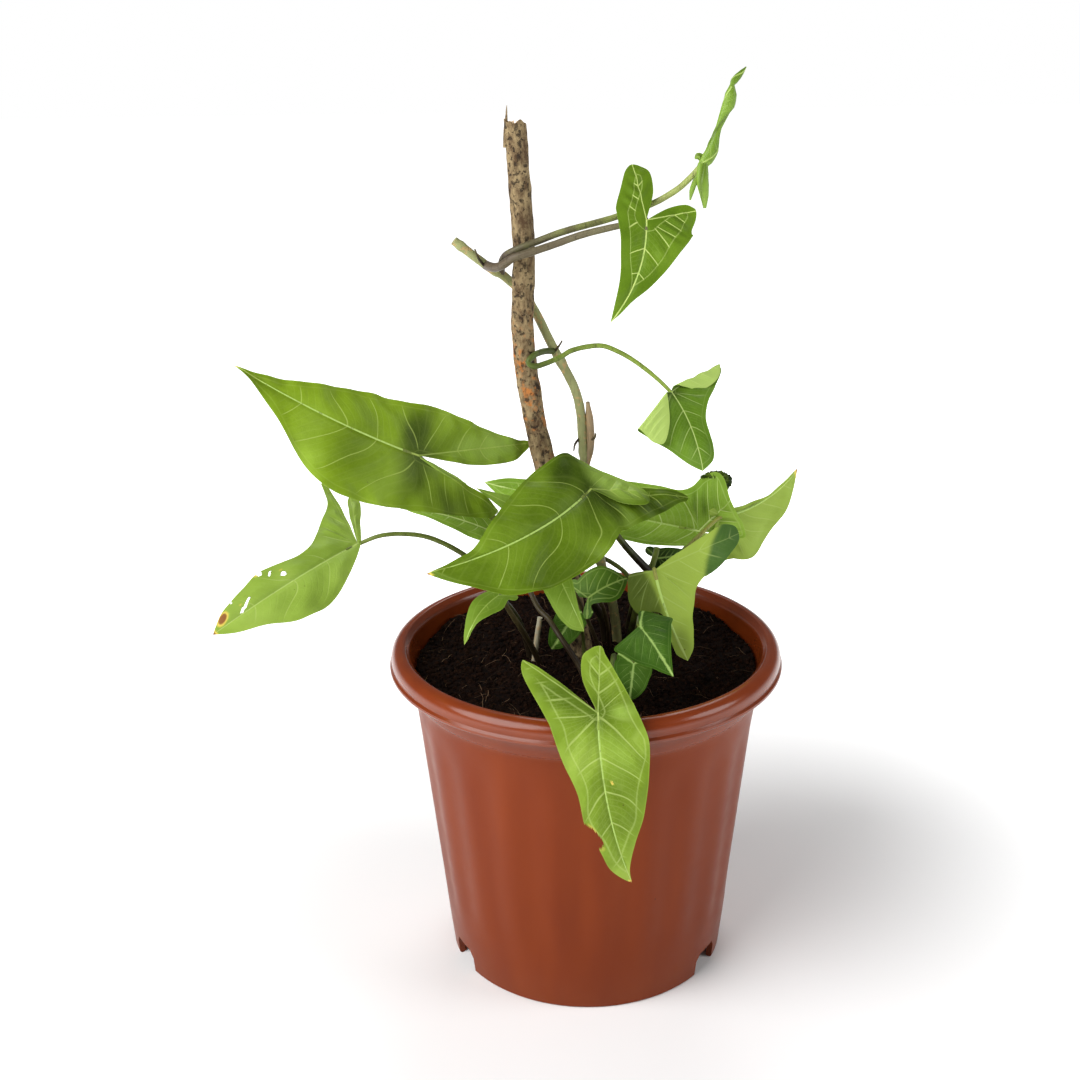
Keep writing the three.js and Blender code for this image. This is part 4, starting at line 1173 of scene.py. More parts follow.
@dataclass
class BranchStake:
    """A cut branch with its bark on, broken off at the top."""

    route: Route = (
        (4, 2, 84), (0, 2, 150), (-10, 1, 212), (-19.4, 0, 265), (-25.8, 0, 298), (-29.1, 0, 332),
        (-27.9, 0, 370), (-29.2, 0, 393), (-31, 0, 427.5))
    radii: tuple[float, float] = (5.7, 5.1)
    splinter: Route = ((-35.2, -1.4, 417), (-35.3, -1.6, 424), (-34.9, -1.8, 430), (-34.6, -2, 435.5))
    sides: int = 56
    splinter_sides: int = 10
    spacing: float = 1.1
    grain_squeeze: float = 0.6
    ridge_height: float = 0.45
    ridge_width: float = 6.0
    crack_height: float = 0.3
    crack_width: float = 2.4
    knob_height: float = 0.5
    knob_width: float = 14.0
    bark: Bark = field(default_factory=Bark)

    def build(self) -> None:
        """Makes the branch, with knobs and cracks in its bark and a pale broken end."""
        line = stem_line(np.array(self.route, dtype=float), self.spacing)
        sides, ups = line_frames(line)
        turn = turns(self.sides)
        radius = np.interp(np.linspace(0, 1, len(line)), (0, 1), self.radii)
        spokes = np.cos(turn)[None, :, None] * sides[:, None] + np.sin(turn)[None, :, None] * ups[:, None]
        skin_points = line[:, None] + radius[:, None, None] * spokes
        flat = skin_points.reshape(-1, 3)
        stretched = flat * (1, 1, self.grain_squeeze)
        push = self.ridge_height * ripple_noise(stretched, self.ridge_width)
        push = push + self.crack_height * ripple_noise(stretched, self.crack_width, 5)
        push += self.knob_height * np.maximum(ripple_noise(flat, self.knob_width, 3) - 0.1, 0)
        flat = flat + push[:, None] * spokes.reshape(-1, 3)
        rings = list(flat.reshape(skin_points.shape))
        # The end is torn: high at the left, low in the middle, with bare wood inside.
        torn = 1.6 * np.sin(turn + 0.6) + 0.9 * np.sin(3 * turn + 1) + 0.5 * np.sin(7 * turn)
        for back in range(4):
            rings[-1 - back] = rings[-1 - back] + np.outer(torn * (1 - back / 4), (0, 0, 1))
        centre = line[-1]
        wood = [np.zeros(self.sides) for _ in rings]
        for reach, drop in ((0.93, 0.1), (0.84, 0.9), (0.6, 1.6), (0.35, 1.1), (0.1, 1.4)):
            ring = centre + (rings[len(line) - 1] - centre) * (reach, reach, 1.0)
            ring[:, 2] += -drop + 0.5 * np.sin(5 * turn + 9 * reach)
            rings.append(ring)
            wood.append(np.ones(self.sides))
        points = np.vstack(rings)
        faces = skin(rings)
        spike_line = stem_line(np.array(self.splinter, dtype=float), 0.8)
        s_sides, s_ups = line_frames(spike_line)
        spike_turn = turns(self.splinter_sides)
        spikes = []
        for index, middle in enumerate(spike_line):
            width = np.interp(index / (len(spike_line) - 1), (0, 0.5, 1), (1.5, 0.9, 0.12))
            spikes.append(middle + width * (np.cos(spike_turn)[:, None] * s_sides[index]
                                            + 0.6 * np.sin(spike_turn)[:, None] * s_ups[index]))
        faces += skin(spikes, len(points))
        fields = {"wood": np.concatenate([*wood, np.zeros(self.splinter_sides * len(spikes))])}
        points = np.vstack([points, *spikes])
        branch = mesh_piece("branch_bark", points, faces, self.bark.material(), fields, sharp=75)
        dress(branch, Slot.BARK, "stake")


# ---- Climbing stems ----


@dataclass
class ClimbingStems:
    """The old climbing stem with its dead sheath, the younger shoot and the stump of a lost leaf stalk."""

    vine: Route = (
        (18, 22, 132), (17.5, 22, 162), (14.5, 17.5, 186), (8, 12, 211), (2, 9, 249), (-0.3, 6.5, 271),
        (-1.7, 5, 290), (-4, 4, 301), (-9.6, 4, 313), (-14, 5, 321), (-21, 9, 335), (-27.5, 10.8, 346.5),
        (-35, 10, 354), (-39, 7, 358), (-44.6, 3, 362), (-52, 1, 368), (-60.5, 0, 375))
    vine_radii: tuple[float, ...] = (2.6, 2.1)
    vine_knots: tuple[tuple[float, float, float], ...] = (
        (0.30, 0.35, 2.5), (0.52, 0.4, 2.5), (0.70, 0.45, 3), (0.905, 0.5, 2.2), (0.985, 0.35, 1.4))
    sheath: Route = ((1.4, 6.6, 262), (3.1, 5.6, 273), (2.9, 5.2, 284), (1.8, 4.4, 295.5))
    shoot: Route = (
        (24, 26, 146), (24, 24, 160), (25.8, 20, 172), (27.9, 15, 184.5), (30.7, 11, 195), (33.4, 8, 205),
        (35.9, 8, 213.6), (36.9, 9, 218))
    sheath_radii: tuple[float, ...] = (1.2, 1.9, 2.1, 1.9, 1.0)
    shoot_radii: tuple[float, ...] = (2.0, 1.5)
    shoot_knots: tuple[tuple[float, float, float], ...] = ((0.8, 0.3, 2),)
    stump: Route = ((-28, 0, 146), (-26.5, 0, 158), (-25.2, 0, 168.6), (-23, 0, 184))
    stump_radii: tuple[float, ...] = (1.6, 1.3)
    root_radii: tuple[float, ...] = (0.7, 0.55, 0.35)
    roots: tuple[Route, ...] = (
        ((-47, 0, 363.5), (-49.2, -2, 367), (-50.8, -2.5, 371.5)),
        ((-30, 9, 348), (-31, 7, 345), (-30.2, 6, 343)),
        ((-14, 3.5, 321), (-11.5, 1, 325), (-10.5, 0, 327)),
        ((2.6, 5, 276), (5.2, 2.5, 278), (5.6, 2, 280.5)),
        ((-2.2, 5.5, 277), (-4.6, 3.5, 274.5), (-5.2, 3, 271)),
    )

    def build(self) -> None:
        """Makes the stems."""
        vine = Strand(self.vine, self.vine_radii, self.vine_knots)
        sheath = Strand(self.sheath, self.sheath_radii)
        roots = [Strand(route, self.root_radii) for route in self.roots]
        shoot = Strand(self.shoot, self.shoot_radii, self.shoot_knots)
        stump = Strand(self.stump, self.stump_radii)
        for name, node, finish, strands, surface in (
            ("vine_stem", "vine", OLD_STEM, [vine], {"knob_size": 5, "knob_height": 0.5}),
            ("vine_sheath", "vine", SHEATH, [sheath], {"knob_size": 4, "knob_height": 0.5}),
            ("vine_roots", "vine", BROWN, roots, {"sides": 8}),
            ("shoot_stem", "shoot", OLIVE, [shoot], {"knob_height": 0.3}),
            ("stump_stem", "cut_stalk", DEAD_STEM, [stump], {"knob_size": 4, "knob_height": 0.7}),
        ):
            dress(GROWER.grow(name, strands, finish.material(), **surface), Slot.STALK, node)


# ---- Leaves ----

STATIONS = (0.0, 0.2, 0.4, 0.6, 0.75, 0.9)


class Grain(Enum):
    """How finely a blade is meshed: parts of each margin step and rings from stalk to margin."""

    PERFORATED = (14, 84)
    FINE = (12, 44)
    MEDIUM = (10, 30)
    COARSE = (6, 18)


@dataclass(frozen=True)
class Spot:
    """An ellipse on the flat blade: its centre, half sizes and turn, in millimetres and degrees.

    The depth is how strongly it marks the blade, and the softness is how wide its edge fades, as a
    share of the ellipse's size.
    """

    u: float
    v: float
    half_u: float
    half_v: float
    turn: float = 0.0
    depth: float = 1.0
    softness: float = 1.0

    def cover(self, flat: Array, half: Array) -> Array:
        """Returns how strongly the spot marks each point of the half of the blade that it lies on."""
        held = half == (1 if self.v < 0 else 0)
        return self.depth * (1 - ease(self.distance(flat), 1.2 - self.softness, 1.2)) * held

    def distance(self, flat: Array) -> Array:
        """Returns how far points are from the centre, as a share of the ellipse's size."""
        angle = math.radians(self.turn)
        u, v = flat[:, 0] - self.u, flat[:, 1] - self.v
        along, across = u * math.cos(angle) + v * math.sin(angle), v * math.cos(angle) - u * math.sin(angle)
        return np.hypot(along / self.half_u, across / self.half_v)


@dataclass(frozen=True)
class Roll:
    """Rolled leaf tissue.

    It holds its route, its radii, how often its edge winds round, how flat it is, how much painted
    shade it carries, how much it is crinkled, how far its rib is set off and whether its upper face
    is outside (1) or not (0).
    """

    route: Route
    radii: tuple[float, ...]
    winds: float
    start: float = 0.0
    flat: float = 0.78
    # Painted shade over the whole roll.
    deep: float = 0.0
    crinkle: float = 0.0
    rib_off: float = 0.0
    upper: float = 1.0


def rolled_mesh(name: str, rolls: tuple[Roll, ...], finish: LeafFinish, steps: int = 48) -> bpy.types.Object:
    """Makes rolled tissue, whose outer edge lies in a spiral lip along each roll.

    Args:
        name: The piece's name.
        rolls: The rolls.
        finish: The tissue.
        steps: Points round a roll.

    Returns:
        The piece.
    """
    points: list[Array] = []
    faces: Faces = []
    veins: list[Array] = []
    place: list[Array] = []
    deep: list[Array] = []
    upper: list[Array] = []
    lap = np.arange(steps) / steps
    swell = 0.8 + 0.26 * ease(lap, 0.0, 0.92) - 0.26 * ease(lap, 0.95, 1.0)
    # Painted shade along the lapped edges of the roll.
    painted_seam_shade = 0.5 * (1 - ease(np.minimum(lap, 1 - lap), 0.0, 0.14))
    for roll in rolls:
        first = sum(len(ring) for ring in points)
        line = stem_line(np.array(roll.route, dtype=float), 0.45)
        sides, ups = line_frames(line)
        share = np.linspace(0, 1, len(line))
        radius = np.interp(share, np.linspace(0, 1, len(roll.radii)), roll.radii)
        rings = []
        for index, middle in enumerate(line):
            angle = 2 * np.pi * (lap + roll.winds * share[index]) + roll.start
            reach = swell * (1 + roll.crinkle * np.sin(4 * np.pi * lap + 5 * np.sin(0.9 * index)))
            x, y = np.cos(angle) * reach, roll.flat * np.sin(angle) * reach
            rings.append(middle + radius[index] * (x[:, None] * sides[index] + y[:, None] * ups[index]))
            across = np.abs(lap - 0.5) * 2 * np.pi * radius[index] + roll.rib_off
            phase = (share[index] * 60 - across * 1.2) / 5
            veins.append(np.column_stack([across, np.full(steps, 9.0), phase]))
            place.append(np.stack([np.full(steps, 4.0), np.minimum(lap, 1 - lap) * 6 * radius[index] + 0.2,
                                   np.full(steps, 30.0)], axis=1))
        faces += skin(rings, first)
        points += rings
        # The field "deep" carries the roll's painted shade, whole and along its laps.
        deep.append(np.tile(np.clip(roll.deep + painted_seam_shade, 0, 1), len(rings)))
        upper.append(np.full(len(rings) * steps, roll.upper))
    count = sum(len(ring) for ring in points)
    fields = {"veins": np.vstack(veins), "place": np.vstack(place), "upper": np.concatenate(upper),
              "dry": np.zeros(count), "deep": np.concatenate(deep)}
    return mesh_piece(name, np.vstack(points), faces, finish.material(), fields, sharp=60)


@dataclass
class LeafOnStalk:
    """One leaf: an arrowhead blade on a long stalk.

    The blade is drawn flat and then shaped. Half widths are given at STATIONS along the midrib, as
    [left, right] pairs seen from above with the tip ahead. A lobe is (reach, degrees from the tip's
    direction, width outside its middle line, width inside it), and a bend is (direction, start, turn,
    radius): it rolls up what lies out beyond a straight line. Where an outline is given for a half,
    it is that half's margin from the tip to the stalk, as (along the midrib, out from it).
    """

    name: str
    junction: Point
    tip: Point
    faces: Point
    left: tuple[float, ...]
    right: tuple[float, ...]
    lobes: tuple[Lobe, Lobe]
    stalk: Route
    stalk_radius: float
    arch: float = 3.0
    sweep: float = 0.0
    ripple: float = 0.3
    bends: tuple[Bend | None, Bend | None] = (None, None)
    folds: tuple[float, float] = (0.0, 0.0)
    finish: LeafFinish = PLAIN
    stalk_finish: StalkFinish = OLIVE
    grain: Grain = Grain.COARSE
    side_veins: float = 7.0
    quilting: float = 0.35
    frill: float = 0.4
    holes: tuple[Spot, ...] = ()
    dry_spots: tuple[Spot, ...] = ()
    # Spots of painted shade where their depth is above 0, and of painted light where it is below 0.
    painted_shade_and_light: tuple[Spot, ...] = ()
    turned: tuple[Spot, ...] = ()
    curls: tuple[Roll, ...] = ()
    outlines: tuple[Outline, Outline] = ((), ())
    overlap: float = 0.0
    dry_tip: float = 0.0
    half_thickness: float = 0.22

    def __post_init__(self) -> None:
        """Works out the blade's own axes: towards the tip, to the left and up out of the upper face."""
        ahead = np.array(self.tip, dtype=float) - self.junction
        self.length = float(np.linalg.norm(ahead))
        self.ahead = ahead / self.length
        up = np.array(self.faces, dtype=float)
        up -= self.ahead * np.dot(up, self.ahead)
        self.up = up / np.linalg.norm(up)
        self.across = np.cross(self.up, self.ahead)

    def half_margin(self, side: int) -> Array:
        """Draws one half's margin, flat.

        Args:
            side: 0 for the left half, 1 for the right.

        Returns:
            Points from the tip back round the lobe to the stalk.
        """
        margin = list(self.outlines[side])
        if not margin:
            widths = self.right if side else self.left
            reach, degrees, outside, inside = self.lobes[side]
            cos, sin = math.cos(math.radians(degrees)), math.sin(math.radians(degrees))
            margin = [(share * self.length, width) for share, width in zip(STATIONS, widths)][::-1]
            lobe = [(far * reach * cos + wide * sin, far * reach * sin - wide * cos) for far, wide in (
                (0.85, outside), (0.96, 0.5 * outside), (1, 0), (0.95, -0.5 * inside), (0.8, -inside),
                (0.45, -0.9 * inside))]
            margin += [(lobe[0][0] / 2, (widths[0] + lobe[0][1]) / 2), *lobe]
        drawn = smooth_outline(np.array([(self.length, 0.0), *margin, (0.0, 0.0)]), self.grain.value[0])
        return drawn * (1, -1) if side else drawn

    def stand(self, flat: Array, half: Array | None = None) -> Array:
        """Takes flat points of the blade to where they stand in space.

        Args:
            flat: Flat points.
            half: 0 or 1 for the half that each belongs to, or None where its side tells.

        Returns:
            The points, in millimetres. A lobe that crosses the midrib's line rises over the other.
        """
        u, v = flat[:, 0], flat[:, 1]
        side = (v < 0).astype(int) if half is None else half
        along, across = u.copy(), v.copy()
        rise = self.overlap * np.maximum(np.where(side == 1, v, -v), 0)
        for bent, bend in enumerate(self.bends):
            if not bend:
                continue
            direction, start, turn, radius = bend
            angle = math.radians(-direction if bent else direction)
            out = u * math.cos(angle) + v * math.sin(angle) - start
            held = (side == bent) & (out > 0)
            whole = math.radians(abs(turn))
            rolled = np.minimum(out / radius, whole)
            straight = out - rolled * radius
            drawn = radius * np.sin(rolled) + straight * math.cos(whole) - out
            lift = radius * (1 - np.cos(rolled)) + straight * math.sin(whole)
            along = np.where(held, u + drawn * math.cos(angle), along)
            across = np.where(held, v + drawn * math.sin(angle), across)
            rise = np.where(held, math.copysign(1, turn) * lift, rise)
        share = u / self.length
        hump = np.where(share > 0, 4 * share * (1 - share), 4 * share)
        wave = self.ripple * np.minimum((v / 15) ** 2, 2) * np.sin(9 * share + 2 * side + self.length)
        fold = np.radians(np.where(side == 1, -self.folds[1], self.folds[0]))
        y = across * np.cos(fold) - (rise + wave) * np.sin(fold) + self.sweep * np.maximum(hump, 0)
        z = across * np.sin(fold) + (rise + wave) * np.cos(fold) + self.arch * hump
        return (np.array(self.junction) + along[:, None] * self.ahead + y[:, None] * self.across
                + z[:, None] * self.up)

    def normals(self, flat: Array, half: Array | None = None) -> Array:
        """Returns the unit vectors out of the upper face at flat points of the given halves."""
        step = 0.05
        along = self.stand(flat + (step, 0), half) - self.stand(flat - (step, 0), half)
        sign = np.sign(flat[:, 1])
        if half is not None:
            sign = np.where(sign == 0, 0, np.where(half == 1, -1, 1))
        inner = flat - np.stack([np.zeros(len(flat)), sign * step], axis=1)
        across = (self.stand(flat, half) - self.stand(inner, half)) * sign[:, None]
        middle = self.stand(flat + (0, step)) - self.stand(flat - (0, step))
        normal = np.cross(along, np.where(sign[:, None] == 0, middle, across))
        return normal / np.linalg.norm(normal, axis=1)[:, None]

    def vein_fields(self, flat: Array, half: Array) -> dict[str, Array]:
        """Works out where each point lies among the veins.

        Args:
            flat: Flat points.
            half: 0 or 1 for the half that each belongs to.

        Returns:
            The fields "veins" and "place" that the leaf's finish reads.
        """
        u, v = flat[:, 0], flat[:, 1]
        heart = np.hypot(u, v)
        mid = np.where(u > 0, np.abs(v), heart)
        edge, lobe, phase, pitch = np.full((4, len(flat)), 1e9)
        for side in (0, 1):
            pick = half == side
            margin = self.half_margin(side)
            for a, b in zip(margin, margin[1:]):
                run = b - a
                t = np.clip(((flat[pick] - a) @ run) / max(run @ run, 1e-9), 0, 1)
                edge[pick] = np.minimum(edge[pick], np.hypot(*(flat[pick] - a - t[:, None] * run).T))
            reach, degrees, _, _ = self.lobes[side]
            theta = math.radians(degrees)
            pu, pv = u[pick], v[pick] * (-1 if side else 1)
            first = min(math.radians(60), theta / 2)
            last = min(math.radians(50), theta / 2)
            spread = max(max(self.right if side else self.left), 6)
            gap = self.length / self.side_veins
            lobe_gap = max(reach / 3.5, 5)
            a = pu * math.cos(theta) + pv * math.sin(theta)
            b = pu * math.sin(theta) - pv * math.cos(theta)
            front = (pu - np.abs(pv) / math.tan(first) - 0.6 * pv**2 / spread) / gap
            back = (a - np.abs(b) / math.tan(last) - 0.4 * b**2 / spread) / lobe_gap
            wedge = front / np.minimum(front + back, -1e-6)
            in_front = (front >= 0) & (pu > 0)
            in_back = ((back >= 0) | (b < 0)) & ~in_front
            phase[pick] = np.where(in_front, front, np.where(in_back, -1 - back, -wedge))
            pitch[pick] = np.where(in_front, gap * math.sin(first), np.where(
                in_back, lobe_gap * math.sin(last), np.abs(front) * gap + np.abs(back) * lobe_gap))
            lobe[pick] = np.where(a > 0, np.abs(b), np.hypot(pu, pv))
        return {"veins": np.column_stack([mid, lobe, phase]), "place": np.column_stack([pitch, edge, heart])}

    def relief(self, flat: Array, fields: dict[str, Array]) -> Array:
        """Returns how far each point stands out: quilting, a sunken rib and a frilled margin."""
        mid, _, phase = fields["veins"].T
        _, edge, heart = fields["place"].T
        quilt = 0.5 - 0.5 * np.cos(2 * np.pi * phase)
        body = ease(mid, 0.5, 7) * ease(edge, 0, 7) * ease(heart, 3, 14)
        groove = np.exp(-((mid / 1.3) ** 2)) * ease(heart, 0, 4) * ease(self.length - flat[:, 0], 0, 12)
        frill = np.sin(flat[:, 0] / 4.1 + self.length) + 0.7 * np.sin(flat[:, 0] / 2.3 + flat[:, 1] / 3.1)
        frilled = self.frill * frill * (1 - ease(edge, 0, 9)) * ease(heart, 4, 18)
        return self.quilting * (1.5 * quilt * body - groove) + frilled

    def blade(self) -> bpy.types.Object:
        """Returns the blade: a closed thin sheet with its holes, veins and dry places."""
        rings = self.grain.value[1]
        right, left = self.half_margin(1)[::-1], self.half_margin(0)
        margin = np.vstack([right, left[1:]])[1:-1]
        tip_at = len(right) - 2
        count = len(margin)
        flat = np.vstack([[[0.0, 0.0]], *(margin * ring / rings for ring in range(1, rings + 1))])
        halves = np.concatenate([[0], *[(np.arange(count) < tip_at).astype(int) for _ in range(rings)]])
        fields = self.vein_fields(flat, halves)
        dry, deep, turned = np.zeros((3, len(flat)))
        if self.dry_tip:
            dry = ease(flat[:, 0], self.length - 3 * self.dry_tip, self.length)
        for spot in self.dry_spots:
            dry = np.maximum(dry, spot.cover(flat, halves))
        # Painted shade and painted light from the spots, carried to the finish as the field "deep".
        for spot in self.painted_shade_and_light:
            deep = np.clip(deep + spot.cover(flat, halves), -1, 1)
        for spot in self.turned:
            turned = np.maximum(turned, spot.cover(flat, halves))
        faces: Faces = []
        for spoke in range(count - 1):
            faces.append((0, 1 + spoke, 2 + spoke))
            for ring in range(rings - 1):
                a, b = 1 + ring * count + spoke, 1 + (ring + 1) * count + spoke
                faces.append((a, b, b + 1, a + 1))
        centres = np.array([flat[list(face)].mean(axis=0) for face in faces])
        kept = np.ones(len(faces), dtype=bool)
        for hole in self.holes:
            kept &= hole.distance(centres) > 1
        faces = [face for face, keep in zip(faces, kept) if keep]
        used = np.unique(np.concatenate([np.array(face) for face in faces]))
        renumber = np.full(len(flat), -1)
        renumber[used] = np.arange(len(used))
        faces = [tuple(int(renumber[i]) for i in face) for face in faces]
        flat, halves, dry, deep, turned = (part[used] for part in (flat, halves, dry, deep, turned))
        fields = {key: values[used] for key, values in fields.items()}
        normal = self.normals(flat, halves)
        middle = self.stand(flat, halves) + self.relief(flat, fields)[:, None] * normal
        thin = self.half_thickness * (0.45 + 0.55 * ease(fields["place"][:, 1], 0, 3))
        points = np.vstack([middle + thin[:, None] * normal, middle - thin[:, None] * normal])
        below = len(flat)
        edges = {(face[i], face[(i + 1) % len(face)]) for face in faces for i in range(len(face))}
        walls = [(a, below + a, below + b, b) for a, b in sorted(edges) if (b, a) not in edges]
        under = [tuple(below + i for i in reversed(face)) for face in faces]
        values = {key: np.vstack([part, part]) for key, part in fields.items()}
        values["upper"] = np.concatenate([1 - turned, turned])
        values["dry"] = np.concatenate([dry, dry])
        values["deep"] = np.concatenate([deep, deep])
        return mesh_piece(f"{self.name}_blade", points, faces + under + walls, self.finish.material(), values)

    def stalk_strand(self) -> list[Strand]:
        """Returns the stalk, and the rib that it becomes under the blade."""
        radius = self.stalk_radius
        marks = np.array([-1.0, 0.04 * self.length, 0.09 * self.length])
        drops = np.array([1.0, 0.95, 0.8]) * radius
        flat = np.stack([marks, np.zeros(3)], axis=1)
        under = self.stand(flat) - drops[:, None] * self.normals(flat)
        route = tuple(self.stalk) + tuple(tuple(p) for p in under)
        steps = np.linspace(0.07, 0.9, 14)
        girths = np.linspace(0.55, 0.12, 14) * radius
        flat = np.stack([steps * self.length, np.zeros(14)], axis=1)
        ribs = self.stand(flat) - (girths + 0.35)[:, None] * self.normals(flat)
        radii = tuple(share * radius for share in (1.25, 1, 0.9, 0.7))
        return [
            Strand(route, radii, ((0.985, 0.1 * radius, 2),)),
            Strand(tuple(tuple(p) for p in ribs), tuple(girths), start=1.15, reach=1.3),
        ]

    def build(self) -> None:
        """Makes the blade, its curled edges and the stalk."""
        dress(self.blade(), Slot.LEAF, self.name)
        if self.curls:
            dress(rolled_mesh(f"{self.name}_curl", self.curls, self.finish, 24), Slot.LEAF, self.name)
        finish = self.stalk_finish.material()
        stalk = GROWER.grow(f"{self.name}_stalk", self.stalk_strand(), finish, knob_height=0.25)
        dress(stalk, Slot.STALK, self.name)
